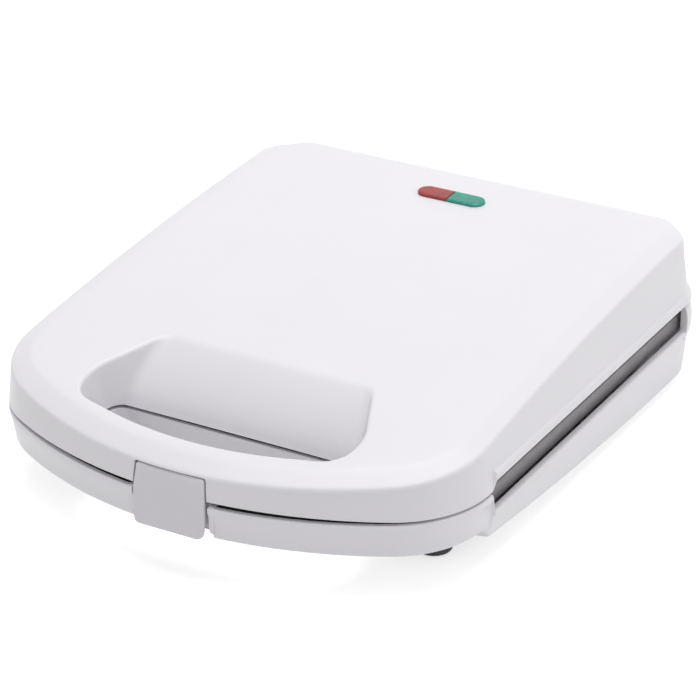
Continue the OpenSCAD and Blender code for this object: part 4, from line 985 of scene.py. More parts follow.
@dataclass(frozen=True)
class Latch:
    """The latch: a bulging face with a kicked lip, and the barrel and hook behind it."""

    width: float = 37.8
    thick: float = 2.4
    out: float = 1.8
    lean: float = 2.7
    top: float = 11.6
    bottom: float = 18.0
    taper: Point2 = (0.9, 0.6)
    low: float = 8.0
    top_round: float = 1.2
    bottom_round: float = 3.4
    barrel_half: float = 12.0
    barrel_r: float = 2.4
    pivot_y: float = 4.7
    pivot_z: float = 8.0
    pin_r: float = 1.15
    hook_half: float = 12.0
    hook_z: float = -15.1
    hook_t: float = 2.1
    hook_end: float = 7.6
    gap: float = 0.9
    # (height, distance beyond the face) of the kicked lip
    LIP = ((-18.0, 0.7), (-17.0, 0.66), (-12.5, 0.06), (-11.9, 0.0))

    def sag(self, x: float) -> float:
        """Returns how far the curved front lies behind its middle."""
        r = FORM.front_r
        return r - math.sqrt(r * r - x * x)

    def face(self, x: float, z: float) -> float:
        """Returns the depth of the latch's face."""
        part = max(0.0, z + self.low) / (self.top + self.low)
        return self.sag(x) - self.out + self.lean * part ** 2 - curve_at(self.LIP, z)

    def plan(self, grow: float, top: float, low: float, low_round: float) -> list[Point2]:
        """Returns the latch's outline seen from the front.

        Args:
            grow: How far the outline is widened on both sides.
            top: Its upper end.
            low: Its lower end.
            low_round: How far the rounding of the lower corners reaches.

        Returns:
            The closed outline.
        """
        x = self.width / 2 + grow
        xt, xl = x - self.taper[0], x - self.taper[1]
        right, left = [], []
        for p, q, r, cut in (((x, 0.0), (xt, top), (-xt, top), self.top_round),
                             ((-x, -self.low), (-xl, low), (xl, low), low_round)):
            right += bent(p, q, r, cut)
            left += bent((-r[0], r[1]), (-q[0], q[1]), (-p[0], p[1]), cut)
        half = len(right) // 2
        return [(x, 0.0)] + right[:half] + left[:half] + [(-x, 0.0), (-x, -self.low)] + (
            right[half:] + left[half:] + [(x, -self.low)])

    def shrunk(self, inset: float) -> list[Point2]:
        """Returns the face's outline drawn in by a small rounding."""
        low = inset - self.bottom
        return self.plan(-inset, self.top - inset, low, max(1.0, self.bottom_round - inset))

    def build(self) -> bpy.types.Object:
        """Builds the latch in millimetres."""
        made = Builder()
        layers = ((0.3, self.thick), (0.0, self.thick - 0.3), (0.0, 1.0), (0.03, 0.72),
                  (0.13, 0.45), (0.3, 0.22), (0.52, 0.08), (0.8, 0.0))
        rings = [made.ring((x, z, self.face(x, z) + d) for x, z in self.shrunk(i))
                 for i, d in layers]
        made.sweep(rings)
        xs = [1.3 * i for i in range(-14, 15)]
        zs = [-16.5, -15.5, -14.5, -13.4, -12.5, -11.9, -11.2] + [-10.1 + 1.3 * i
                                                               for i in range(17)]
        made.patch(rings[-1], [], self.face, xs, zs, 0.5)
        made.patch(rings[0], [], lambda x, z: self.face(x, z) + self.thick, xs, zs, 0.5)
        made.points = [(x, d, z) for x, z, d in made.points]
        case = made.solid("latch_case")
        b, r, py, pz = self.barrel_half, self.barrel_r, self.pivot_y, self.pivot_z
        carve(case, prism("barrel", disc(py, pz, r), "x", -b, b), Cut.ADD)
        back = self.thick - self.out
        web = [(back - 0.4, pz - r), (py, pz - r), (py, pz + r - 0.1),
               (self.lean - self.out + 1.2, self.top - 1.3)]
        carve(case, prism("web", web, "x", -b, b), Cut.ADD)
        z, end = self.hook_z, self.hook_end
        hook = [(back - 0.6, z), (end - 0.5, z), (end, z - 0.5), (end, z - self.hook_t + 0.8),
                (end - 0.8, z - self.hook_t), (back - 0.6, z - self.hook_t)]
        carve(case, prism("hook", hook, "x", -self.hook_half, self.hook_half), Cut.ADD)
        for x in (-self.hook_half + 1, 0, self.hook_half - 1):
            rib = [(back - 0.4, -7.8), (back + 0.6, -8.8), (4.6, z + 0.1), (4.6, z - 0.1),
                   (back - 0.4, z - 0.1)]
            carve(case, prism("rib", rib, "x", x - 0.8, x + 0.8), Cut.ADD)
        carve(case, prism("pin_hole", disc(py, pz, self.pin_r, 32), "x", -60, 60), Cut.TAKE)
        for side in (-1, 1):
            ends = sorted((side * (b + 0.1), side * 15.3))
            carve(case, prism("ear_room", disc(py, pz, 2.15), "x", *ends), Cut.TAKE)
        return case

    def notch(self) -> list[bpy.types.Object]:
        """Builds the tools that cut the latch's notch out of the lid's wall."""
        wide = prism("notch", self.plan(self.gap, self.top + 0.8, -20.0, 1.0), "y", -6, 7.9)
        relief = [(2.2, 11.0), (3.3, 12.7), (7.9, 12.7), (7.9, 11.0)]
        x = self.width / 2 - self.taper[0] - 0.4
        return [wide, prism("relief", relief, "x", -x, x)]


@dataclass(frozen=True)
class LensPair:
    """The two indicator lenses, halves of one rounded window, in millimetres."""

    length: float = 38.0
    width: float = 11.4
    out: float = 1.7
    y: float = 272.5
    lip: float = 1.15
    split: float = 0.08

    def half(self, name: str, side: int) -> bpy.types.Object:
        """Builds one lens.

        Args:
            name: Name of the object.
            side: -1 for the left lens and 1 for the right one.

        Returns:
            The lens in millimetres.
        """
        made = Builder()
        layers = ((self.lip, -4.4), (self.lip, -0.02), (0.0, -0.01), (0.0, 0.75), (0.08, 1.1),
                  (0.32, 1.38), (0.75, 1.55), (1.5, 1.62), (2.6, 1.66))
        rings = []
        for inset, z in layers:
            r = self.width / 2 - inset
            inner = self.split + min(inset, 0.25) * (z > 0.8)
            centre = self.length / 2 - self.width / 2
            ring = [(mix(inner, centre, i / 6), -r) for i in range(7)]
            ring += [(centre + r * math.sin(math.pi * i / 24), -r * math.cos(math.pi * i / 24))
                     for i in range(1, 25)]
            ring += [(mix(centre, inner, i / 6), r) for i in range(1, 7)]
            rings.append(made.ring((side * x, y, z) for x, y in ring))
        made.sweep(rings)
        made.faces += [rings[0], rings[-1]]
        obj = made.solid(name)
        tilt = Matrix.Rotation(FORM.lid_slope(self.y), 4, "X")
        height = FORM.lid_z(self.y) + FORM.lid_crown
        obj.data.transform(Matrix.Translation((0, self.y, height)) @ tilt)
        return obj


def lathe(name: str, profile: Sequence[Point2], x: float, y: float,
          steps: int = 64) -> bpy.types.Object:
    """Returns a turned solid on an upright axis, in millimetres.

    Args:
        name: Name of the object.
        profile: Points (radius, height) from one end to the other.
        x: Place of the axis.
        y: Place of the axis.
        steps: Faces round the axis.

    Returns:
        The object.
    """
    made = Builder()
    rings = [made.ring((*p, z) for p in disc(x, y, r, steps)) for r, z in profile]
    made.sweep(rings)
    made.faces += [rings[0], rings[-1]]
    return made.solid(name)


def joined(name: str, parts: Sequence[bpy.types.Object]) -> bpy.types.Object:
    """Joins objects into the first one, renames it and returns it."""
    bm = bmesh.new()
    for part in parts:
        bm.from_mesh(part.data)
    bm.to_mesh(parts[0].data)
    bm.free()
    for part in parts[1:]:
        bpy.data.objects.remove(part)
    parts[0].name = name
    parts[0].data.name = name
    return parts[0]


@dataclass(frozen=True)
class Feet:
    """A pair of rubber feet: a rounded pad with a shallow ring in its sole."""

    x: float
    y: float
    seat: float
    radius: float = 9.0
    stem_r: float = 2.6

    def build(self, name: str) -> bpy.types.Object:
        """Builds both feet in millimetres."""
        r, low, high = self.radius, -FORM.stand_h, self.seat
        profile = [(r - 4.6, low + 0.5), (r - 4.2, low + 0.1), (r - 3.8, low), (r - 2.0, low),
                   (r - 1.2, low + 0.18), (r - 0.6, low + 0.5), (r - 0.2, low + 1.0),
                   (r, low + 1.6), (r, high - 0.5), (r - 0.15, high - 0.15), (r - 0.5, high),
                   (self.stem_r, high), (self.stem_r, high + 4.4), (self.stem_r - 0.6, high + 5)]
        if high - low < 4:
            profile[7] = (r, low + 1.3)
        return joined(name, [lathe("foot", profile, s * self.x, self.y) for s in (-1, 1)])


FEET = (("front", Feet(93.5, 80, -30)), ("rear", Feet(93.5, 283.5, -39)))


class Tree:
    """A short way to write a node tree: nodes by type, inputs by name."""

    def __init__(self, group: bpy.types.NodeTree) -> None:
        """Starts with the tree's own node group."""
        self.group = group

    def add(self, kind: str, links: dict | None = None, **settings) -> bpy.types.Node:
        """Adds a node.

        Args:
            kind: Blender's name of the node type.
            links: For each input, by name or number, a socket to link or a value.
            **settings: Attributes of the node.

        Returns:
            The node.
        """
        node = self.group.nodes.new(kind)
        for key, value in settings.items():
            setattr(node, key, value)
        for key, value in (links or {}).items():
            for source in value if isinstance(value, list) else [value]:
                if isinstance(source, bpy.types.NodeSocket):
                    self.group.links.new(source, node.inputs[key])
                else:
                    node.inputs[key].default_value = source
        return node


class GeometryTree(Tree):
    """A geometry node tree with named sizes, ending in real faces with a material."""

    def __init__(self, name: str, sizes: Sequence[str]) -> None:
        """Makes the tree's inputs.

        Args:
            name: Name of the tree.
            sizes: Names of its number inputs.
        """
        super().__init__(bpy.data.node_groups.new(name, "GeometryNodeTree"))
        face = self.group.interface
        face.new_socket("Geometry", in_out="INPUT", socket_type="NodeSocketGeometry")
        for size in sizes:
            face.new_socket(size, in_out="INPUT", socket_type="NodeSocketFloat")
        face.new_socket("Geometry", in_out="OUTPUT", socket_type="NodeSocketGeometry")
        self.enter = self.add("NodeGroupInput")

    def value(self, name: str) -> bpy.types.NodeSocket:
        """Returns the socket of a named input."""
        return self.enter.outputs[name]

    def vector(self, x: object = 0.0, y: object = 0.0, z: object = 0.0) -> bpy.types.NodeSocket:
        """Returns a vector of numbers or sockets."""
        return self.add("ShaderNodeCombineXYZ", {0: x, 1: y, 2: z}).outputs[0]

    def times(self, a: object, b: object) -> bpy.types.NodeSocket:
        """Returns the product of two numbers or sockets."""
        return self.add("ShaderNodeMath", {0: a, 1: b}, operation="MULTIPLY").outputs[0]

    def finish(self, geometry: bpy.types.NodeSocket, material: bpy.types.Material) -> None:
        """Ends the tree in Realize Instances and Set Material.

        Args:
            geometry: The geometry made.
            material: The finish of its faces.
        """
        real = self.add("GeometryNodeRealizeInstances", {0: geometry})
        dressed = self.add("GeometryNodeSetMaterial", {"Geometry": real.outputs[0],
                                                       "Material": material})
        self.add("NodeGroupOutput", {0: dressed.outputs[0]})

    def apply(self, obj: bpy.types.Object, values: dict[str, float]) -> bpy.types.Object:
        """Runs the tree on an object and keeps the result as its plain mesh.

        Args:
            obj: The object that carries the points or the path.
            values: A number for each named input.

        Returns:
            The same object.
        """
        modifier = obj.modifiers.new("made", "NODES")
        modifier.node_group = self.group
        for item in self.group.interface.items_tree:
            if item.in_out == "INPUT" and item.name in values:
                modifier[item.identifier] = float(values[item.name])
        return baked(obj)


class Head(Enum):
    """The shapes of a screw's head."""

    DOME = "dome"
    FLAT = "flat"


def screw_tree(head: Head, material: bpy.types.Material) -> GeometryTree:
    """Makes the tree that puts a cross-head screw on every point.

    Args:
        head: Shape of the head.
        material: Finish of the screws.

    Returns:
        The tree, with inputs Shank Radius, Length, Head Radius, Head Height and Turn.
    """
    tree = GeometryTree(f"screw_{head.value}",
                        ("Shank Radius", "Length", "Head Radius", "Head Height", "Turn"))
    r, length = tree.value("Shank Radius"), tree.value("Length")
    hr, hh = tree.value("Head Radius"), tree.value("Head Height")
    shank = tree.add("GeometryNodeMeshCylinder", {"Vertices": 20, "Radius": r, "Depth": length})
    shank = tree.add("GeometryNodeTransform", {
        "Geometry": shank.outputs[0],
        "Translation": tree.vector(z=tree.times(length, -0.5))})
    side = tree.times(hr, 3.0)
    if head is Head.DOME:
        ball = tree.add("GeometryNodeMeshUVSphere", {"Segments": 40, "Rings": 24, "Radius": 1.0})
        body = tree.add("GeometryNodeTransform", {"Geometry": ball.outputs[0],
                                                  "Scale": tree.vector(hr, hr, hh)})
        below = tree.add("GeometryNodeMeshCube", {"Size": tree.vector(side, side, side)})
        below = tree.add("GeometryNodeTransform", {
            "Geometry": below.outputs[0], "Translation": tree.vector(z=tree.times(side, -0.5))})
        cuts = [below.outputs[0]]
        deep = tree.times(hh, 1.3)
    else:
        body = tree.add("GeometryNodeMeshCone", {
            "Vertices": 40, "Radius Top": hr, "Radius Bottom": r, "Depth": hh})
        body = tree.add("GeometryNodeTransform", {
            "Geometry": body.outputs[0], "Translation": tree.vector(z=tree.times(hh, -1.0))})
        cuts = []
        deep = tree.times(hh, 1.1)
    long, short = tree.times(hr, 1.15), tree.times(hr, 0.26)
    lift = tree.times(hh, 1.0 if head is Head.DOME else 0.0)
    for size in (tree.vector(long, short, deep), tree.vector(short, long, deep)):
        bar = tree.add("GeometryNodeMeshCube", {"Size": size})
        bar = tree.add("GeometryNodeTransform", {"Geometry": bar.outputs[0],
                                                 "Translation": tree.vector(z=lift)})
        cuts.append(bar.outputs[0])
    solid = tree.add("GeometryNodeMeshBoolean", {"Mesh 1": body.outputs[0], "Mesh 2": cuts},
                     operation="DIFFERENCE")
    whole = tree.add("GeometryNodeJoinGeometry", {0: [solid.outputs[0], shank.outputs[0]]})
    turned = tree.add("GeometryNodeTransform", {"Geometry": whole.outputs[0],
                                                "Rotation": tree.vector(x=tree.value("Turn"))})
    placed = tree.add("GeometryNodeInstanceOnPoints", {"Points": tree.value("Geometry"),
                                                       "Instance": turned.outputs[0]})
    tree.finish(placed.outputs[0], material)
    return tree


def tube_tree(material: bpy.types.Material) -> GeometryTree:
    """Makes the tree that runs a round tube along a path with rounded bends.

    Args:
        material: Finish of the tube.

    Returns:
        The tree, with the input Radius; the path's points carry their bend radius.
    """
    tree = GeometryTree("tube", ("Radius",))
    path = tree.add("GeometryNodeMeshToCurve", {0: tree.value("Geometry")})
    bend = tree.add("GeometryNodeInputNamedAttribute", {"Name": "bend"}, data_type="FLOAT")
    path = tree.add("GeometryNodeFilletCurve", {
        "Curve": path.outputs[0], "Radius": bend.outputs[0], "Count": 10,
        "Limit Radius": True}, mode="POLY")
    ring = tree.add("GeometryNodeCurvePrimitiveCircle", {"Resolution": 20,
                                                         "Radius": tree.value("Radius")})
    tube = tree.add("GeometryNodeCurveToMesh", {"Curve": path.outputs[0],
                                                "Profile Curve": ring.outputs[0],
                                                "Fill Caps": True})
    tree.finish(tube.outputs[0], material)
    return tree


def slot_tree(material: bpy.types.Material) -> GeometryTree:
    """Makes the tree of a row of round-ended slots, used to cut the vents.

    Args:
        material: Finish of the cut faces.

    Returns:
        The tree, with inputs Width, Length, Depth, Pitch and Count.
    """
    tree = GeometryTree("slots", ("Width", "Length", "Depth", "Pitch", "Count"))
    width, depth = tree.value("Width"), tree.value("Depth")
    plan = tree.add("GeometryNodeCurvePrimitiveQuadrilateral", {
        "Width": width, "Height": tree.value("Length")})
    plan = tree.add("GeometryNodeFilletCurve", {
        "Curve": plan.outputs[0], "Radius": tree.times(width, 0.499), "Count": 6}, mode="POLY")
    flat = tree.add("GeometryNodeFillCurve", {0: plan.outputs[0]})
    deep = tree.add("GeometryNodeTransform", {"Geometry": flat.outputs[0],
                                              "Translation": tree.vector(z=depth)})
    both = tree.add("GeometryNodeJoinGeometry", {0: [flat.outputs[0], deep.outputs[0]]})
    tool = tree.add("GeometryNodeConvexHull", {0: both.outputs[0]})
    line = tree.add("GeometryNodeMeshLine", {"Count": tree.value("Count"),
                                             "Offset": tree.vector(x=tree.value("Pitch"))},
                    mode="OFFSET")
    rows = tree.add("GeometryNodeInstanceOnPoints", {"Points": line.outputs[0],
                                                     "Instance": tool.outputs[0]})
    tree.finish(rows.outputs[0], material)
    return tree


def points_object(name: str, places: Sequence[Point3],
                  bends: Sequence[float] = ()) -> bpy.types.Object:
    """Returns an object of bare points, or of one path through them.

    Args:
        name: Name of the object.
        places: The points, in millimetres.
        bends: Radius of the bend at each point of a path, and nothing for bare points.

    Returns:
        The object.
    """
    mesh = bpy.data.meshes.new(name)
    lines = [(i, i + 1) for i in range(len(bends) - 1)]
    mesh.from_pydata([tuple(p) for p in places], lines, [])
    if bends:
        mesh.attributes.new("bend", "FLOAT", "POINT").data.foreach_set("value", list(bends))
    return linked(name, mesh)


@dataclass(frozen=True)
class Finish:
    """A procedural finish: colour with a soft mottle, a grain in its gloss and a fine relief."""

    name: str
    colour: Point3
    roughness: float = 0.4
    roughness_spread: float = 0.06
    mottle: float = 0.02
    mottle_scale: float = 40.0
    grain_scale: float = 2600.0
    relief: float = 0.08
    relief_mm: float = 0.02
    stretch: Point3 = (1.0, 1.0, 1.0)
    metallic: float = 0.0
    specular: float = 0.5
    coat: float = 0.0
    transmission: float = 0.0
    subsurface: float = 0.0

    def build(self) -> bpy.types.Material:
        """Makes the material."""
        made = bpy.data.materials.new(self.name)
        made.use_nodes = True
        made.node_tree.nodes.clear()
        tree = Tree(made.node_tree)
        place = tree.add("ShaderNodeTexCoord").outputs["Object"]
        cast = tree.add("ShaderNodeMapping", {"Vector": place, "Scale": self.stretch}).outputs[0]
        soft = tree.add("ShaderNodeTexNoise", {"Vector": place, "Scale": self.mottle_scale,
                                               "Detail": 3.0, "Roughness": 0.55})
        grain = tree.add("ShaderNodeTexNoise", {"Vector": cast, "Scale": self.grain_scale,
                                                "Detail": 2.0, "Roughness": 0.5})
        dark = tuple(c * (1 - self.mottle) for c in self.colour) + (1.0,)
        light = tuple(min(1.0, c * (1 + self.mottle)) for c in self.colour) + (1.0,)
        ramp = tree.add("ShaderNodeValToRGB", {"Fac": soft.outputs["Fac"]})
        ramp.color_ramp.elements[0].position = 0.3
        ramp.color_ramp.elements[0].color = dark
        ramp.color_ramp.elements[1].position = 0.7
        ramp.color_ramp.elements[1].color = light
        gloss = tree.add("ShaderNodeMapRange", {
            "Value": grain.outputs["Fac"], "From Min": 0.3, "From Max": 0.7,
            "To Min": max(0.02, self.roughness - self.roughness_spread),
            "To Max": min(1.0, self.roughness + self.roughness_spread)})
        bump = tree.add("ShaderNodeBump", {
            "Height": self.height(tree, cast, grain), "Strength": self.relief,
            "Distance": self.relief_mm * MM})
        shader = tree.add("ShaderNodeBsdfPrincipled", {
            "Base Color": ramp.outputs["Color"], "Roughness": gloss.outputs[0],
            "Normal": bump.outputs[0], "Metallic": self.metallic,
            "Specular IOR Level": self.specular, "Coat Weight": self.coat,
            "Coat Roughness": 0.12, "Transmission Weight": self.transmission,
            "Subsurface Weight": self.subsurface, "Subsurface Scale": 0.004})
        tree.add("ShaderNodeOutputMaterial", {"Surface": shader.outputs[0]})
        return made

    def height(self, tree: Tree, cast: bpy.types.NodeSocket,
               grain: bpy.types.Node) -> bpy.types.NodeSocket:
        """Returns the height that drives the relief."""
        return grain.outputs["Fac"]


@dataclass(frozen=True)
class CellFinish(Finish):
    """A finish whose relief is of small cells, as on a sprayed coat or a lens's inner prisms."""

    cell_scale: float = 900.0

    def height(self, tree: Tree, cast: bpy.types.NodeSocket,
               grain: bpy.types.Node) -> bpy.types.NodeSocket:
        """Returns the height of the cells."""
        cells = tree.add("ShaderNodeTexVoronoi", {"Vector": cast, "Scale": self.cell_scale})
        return cells.outputs["Distance"]


WHITE = (0.862, 0.846, 0.882)
FINISHES: dict[str, Finish] = {f.name: f for f in (
    Finish("white_moulding", WHITE, 0.38, 0.05, 0.008, 18, 2400, 0.10, 0.02, coat=0.08),
    Finish("latch_moulding", (0.785, 0.76, 0.805), 0.42, 0.05, 0.01, 30, 2600, 0.12, 0.02),
    CellFinish("nonstick_coat", (0.25, 0.24, 0.25), 0.46, 0.07, 0.12, 160, 1500, 0.30, 0.03,
               cell_scale=1400),
    Finish("zinc", (0.62, 0.62, 0.61), 0.34, 0.08, 0.08, 700, 2600, 0.12, 0.01, metallic=1.0),
    Finish("bright_sheet", (0.78, 0.79, 0.80), 0.3, 0.08, 0.03, 60, 1800, 0.15, 0.01,
           (0.05, 1.0, 1.0), metallic=1.0),
    Finish("heated_steel", (0.32, 0.29, 0.27), 0.45, 0.1, 0.25, 90, 2600, 0.2, 0.02,
           metallic=1.0),
    Finish("ceramic", (0.70, 0.64, 0.54), 0.55, 0.08, 0.06, 200, 2000, 0.2, 0.03),
    Finish("glass_sleeve", (0.80, 0.77, 0.68), 0.75, 0.08, 0.10, 900, 3000, 0.5, 0.05,
           (1.0, 3.0, 3.0)),
    Finish("terminal_moulding", (0.80, 0.79, 0.74), 0.5, 0.06, 0.02, 120, 2400, 0.12, 0.02),
    # Near-black painted shade for the grip covers, which are white plastic: it makes the parting
    # gap between the grips look dark.
    Finish("gap_shade_black", (0.03, 0.03, 0.032), 0.5, 0.06, 0.08, 80, 2400, 0.15, 0.02),
    Finish("inlet_rubber", (0.035, 0.035, 0.038), 0.62, 0.08, 0.12, 150, 2200, 0.25, 0.03),
    Finish("foot_rubber", (0.06, 0.06, 0.065), 0.7, 0.08, 0.14, 150, 2200, 0.3, 0.03),
    Finish("brass", (0.72, 0.52, 0.22), 0.32, 0.08, 0.06, 300, 2600, 0.1, 0.01, metallic=1.0),
    Finish("red_insulation", (0.50, 0.05, 0.04), 0.42, 0.06, 0.05, 250, 2200, 0.15, 0.02),
    Finish("blue_insulation", (0.05, 0.11, 0.45), 0.42, 0.06, 0.05, 250, 2200, 0.15, 0.02),
    CellFinish("red_lens", (0.34, 0.03, 0.024), 0.28, 0.06, 0.2, 260, 1800, 0.5, 0.06,
               specular=0.4, coat=0.15, cell_scale=520),
    CellFinish("green_lens", (0.02, 0.30, 0.225), 0.28, 0.06, 0.2, 260, 1800, 0.5, 0.06,
               specular=0.4, coat=0.15, cell_scale=520),
    Finish("neon_glass", (0.90, 0.78, 0.66), 0.1, 0.04, 0.03, 120, 1500, 0.05, 0.01,
           transmission=0.8),
)}


@dataclass(frozen=True)
class Piece:
    """What a visible piece needs beside its mesh: finish, body, slot and the nodes it shows."""

    finish: str
    body: str
    slot: str
    nodes: tuple[str, ...]


class Workshop:
    """Dresses pieces and puts them on their bodies."""

    def __init__(self) -> None:
        """Makes every finish once."""
        self.materials = {name: finish.build() for name, finish in FINISHES.items()}

    def dress(self, obj: bpy.types.Object, name: str, piece: Piece) -> bpy.types.Object:
        """Gives a finished mesh its name, finish and body.

        Args:
            obj: The object, its mesh in the frame.
            name: Name of the piece.
            piece: What it is made of and what it stands for.

        Returns:
            The same object.
        """
        obj.name = name
        obj.data.name = name
        obj.data.materials.clear()
        obj.data.materials.append(self.materials[piece.finish])
        for face in obj.data.polygons:
            face.material_index = 0
        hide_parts(*piece.nodes)
        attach(obj, piece.body)
        LOG.info("%s: %d faces on %s", name, len(obj.data.polygons), piece.body)
        return obj

    def keep(self, node: str, finish: str) -> None:
        """Gives a CAD node that stays its finish."""
        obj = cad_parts[node]
        obj.data.materials.clear()
        obj.data.materials.append(self.materials[finish])
        LOG.info("%s keeps its solid, in %s", node, finish)


@dataclass(frozen=True)
class ScrewSet:
    """Screws of one kind that share a CAD node, in millimetres."""

    node: str
    body: str
    head: Head
    places: tuple[Point2, ...]
    z: float
    down: bool
    length: float
    head_r: float
    head_h: float
    shank_r: float = 1.5


@dataclass(frozen=True)
class Fittings:
    """The screws, the heating tubes and the leads, made by their node trees."""

    loop_y: Point2 = (112.0, 238.5)
    loop_half: float = 70.1
    end_x: float = 18.0
    end_y: float = 264.5
    lower_z: float = -16.7
    upper_z: float = 13.8

    def screw_sets(self) -> list[ScrewSet]:
        """Returns every set of screws."""
        plate = tuple(CookingPlate().screws())
        grip = ((-88.0, 34.0), (88.0, 34.0), (-45.0, 13.4), (45.0, 13.4))
        rear = tuple((x, 287.0) for x in (-66.0, -40.0, 40.0, 66.0))
        arms, front = ((-90.7, 283.5), (90.7, 283.5)), ((-10.0, 11.0), (10.0, 11.0))
        flat, dome = Head.FLAT, Head.DOME
        return [ScrewSet("lower_plate_screws", "base", flat, plate, -1.7, False, 21.5, 2.9, 1.8),
                ScrewSet("upper_plate_screws", "lid", flat, plate, -1.2, True, 21.5, 2.9, 1.8),
                ScrewSet("base_cover_screws", "base", dome, grip, -1.6, False, 8, 2.6, 0.9),
                ScrewSet("lid_cover_screws", "lid", dome, grip, 1.6, True, 8, 2.6, 0.9),
                ScrewSet("housing_screws", "base", dome, rear, -17.0, False, 10, 2.8, 1.8),
                ScrewSet("hinge_arm_screws", "lid", dome, arms, 27.0, True, 9, 2.8, 1.8),
                ScrewSet("bracket_screws", "lid", dome, front, 6.1, True, 11, 2.1, 1.3, 1.2)]

    def screws(self, shop: "Workshop") -> None:
        """Builds every set of screws."""
        trees = {head: screw_tree(head, shop.materials["zinc"]) for head in Head}
        for kind in self.screw_sets():
            base = points_object(kind.node, [(x, y, kind.z) for x, y in kind.places])
            made = trees[kind.head].apply(base, {
                "Shank Radius": kind.shank_r, "Length": kind.length,
                "Head Radius": kind.head_r, "Head Height": kind.head_h,
                "Turn": math.pi if kind.down else 0.0})
            shop.dress(finished(outward(made)), f"{kind.node}_set",
                       Piece("zinc", kind.body, "zinc_steel", (kind.node,)))

    def tube(self, tree: GeometryTree, path: Sequence[Point3], bend: float,
             radius: float) -> bpy.types.Object:
        """Returns one tube along a path, its bends no tighter than half a leg.

        Args:
            tree: The tube's tree.
            path: The corners of the path.
            bend: Radius of its bends.
            radius: Radius of the tube.

        Returns:
            The tube in millimetres.
        """
        line = points_object("tube", path, [bend] * len(path))
        return outward(tree.apply(line, {"Radius": radius}))

    def elements(self, shop: "Workshop") -> None:
        """Builds the two heating tubes with their end pins."""
        tree = tube_tree(shop.materials["heated_steel"])
        (y0, y1), w, x = self.loop_y, self.loop_half, self.end_x
        for node, body, z in (("lower_element", "base", self.lower_z),
                              ("upper_element", "lid", self.upper_z)):
            path = [(x, self.end_y, z), (x, y1, z), (w, y1, z), (w, y0, z), (-w, y0, z),
                    (-w, y1, z), (-x, y1, z), (-x, self.end_y, z)]
            parts = [self.tube(tree, path, 21.0, 3.0)]
            for side in (-x, x):
                for size, end in ((2.4, 5.0), (1.2, 11.0)):
                    parts.append(self.tube(tree, [(side, self.end_y - 1, z),
                                                  (side, self.end_y + end, z)], 0.0, size))
            shop.dress(finished(joined(node, parts)), f"{node}_tube",
                       Piece("heated_steel", body, "element_steel", (node,)))

    def leads(self, shop: "Workshop") -> None:
        """Builds the leads inside the base and the lid."""
        pin, low = self.end_y + 11.1, -30.3
        lens_y = LensPair.y
        lamp = FORM.lid_z(lens_y) + FORM.lid_crown - 17.1
        for node, body, finish, slot in (("base_wiring", "base", "red_insulation", "red_lead"),
                                         ("lid_wiring", "lid", "blue_insulation", "blue_lead")):
            tree, parts = tube_tree(shop.materials[finish]), []
            for side in (-1, 1):
                x = side * self.end_x
                path = [(x, pin, self.lower_z), (x, 280.1, self.lower_z), (x + side, 280.1, -27),
                        (34 + side * 9, 276.0, -28), (34 + side * 9, 258.6, low)]
                if body == "lid":
                    path = [(side * 9, lens_y, lamp), (side * 9, lens_y, lamp - 2.9),
                            (x, 280.5, lamp - 2.9), (x, 280.5, self.upper_z),
                            (x, pin, self.upper_z)]
                parts.append(self.tube(tree, path, 2.0, 1.1))
            shop.dress(finished(joined(node, parts)), f"{node}_leads",
                       Piece(finish, body, slot, (node,)))

    def build(self, shop: "Workshop") -> None:
        """Builds all of the fittings."""
        self.screws(shop)
        self.elements(shop)
        self.leads(shop)


@dataclass(frozen=True)
class Lid:
    """The lid: its shell, lenses and plate."""

    shop: Workshop
    plate_z: float = -1.3

    def build(self) -> None:
        """Builds and dresses the lid's pieces."""
        case = LidShell().build()
        for tool in Latch().notch():
            carve(case, tool, Cut.TAKE)
        self.shop.dress(finished(case), "lid_case",
                        Piece("white_moulding", "lid", "white_shell", ("lid_shell",)))
        lenses = LensPair()
        for side, colour in ((-1, "red"), (1, "green")):
            self.shop.dress(finished(lenses.half("lens", side)), f"{colour}_window",
                            Piece(f"{colour}_lens", "lid", f"lens_{colour}",
                                  (f"lens_{colour}",)))
        plate = CookingPlate().build("plate", self.plate_z, True)
        self.shop.dress(finished(plate), "upper_cooking_plate",
                        Piece("nonstick_coat", "lid", "nonstick", ("upper_plate",)))


@dataclass(frozen=True)
class Base:
    """The base: its shell, vents, plate and feet, in millimetres."""

    shop: Workshop
    plate_z: float = -1.6
    vent_x: float = 24.0
    vent_y: float = 196.0
    vent_w: float = 3.0
    vent_l: float = 34.0
    vent_pitch: float = 9.0
    vent_count: int = 6
    vent_z: Point2 = (-60.0, -24.0)

    def build(self) -> None:
        """Builds and dresses the base's pieces."""
        case = BaseShell().build()
        tree = slot_tree(self.shop.materials["white_moulding"])
        first, (low, high) = self.vent_x + self.vent_w / 2, self.vent_z
        for start in (first, -first - (self.vent_count - 1) * self.vent_pitch):
            tool = tree.apply(points_object("vents", [(0.0, 0.0, 0.0)]), {
                "Width": self.vent_w, "Length": self.vent_l, "Depth": high - low,
                "Pitch": self.vent_pitch, "Count": self.vent_count})
            tool.data.transform(Matrix.Translation((start, self.vent_y + self.vent_l / 2, low)))
            carve(case, outward(tool), Cut.TAKE)
        self.shop.dress(finished(case), "base_case",
                        Piece("white_moulding", "base", "white_shell", ("base_shell",)))
        plate = CookingPlate().build("plate", self.plate_z, False)
        self.shop.dress(finished(plate), "lower_cooking_plate",
                        Piece("nonstick_coat", "base", "nonstick", ("lower_plate",)))
        for name, feet in FEET:
            self.shop.dress(finished(feet.build("feet")), f"{name}_rubber_feet",
                            Piece("foot_rubber", "base", "foot_rubber", (f"{name}_feet",)))


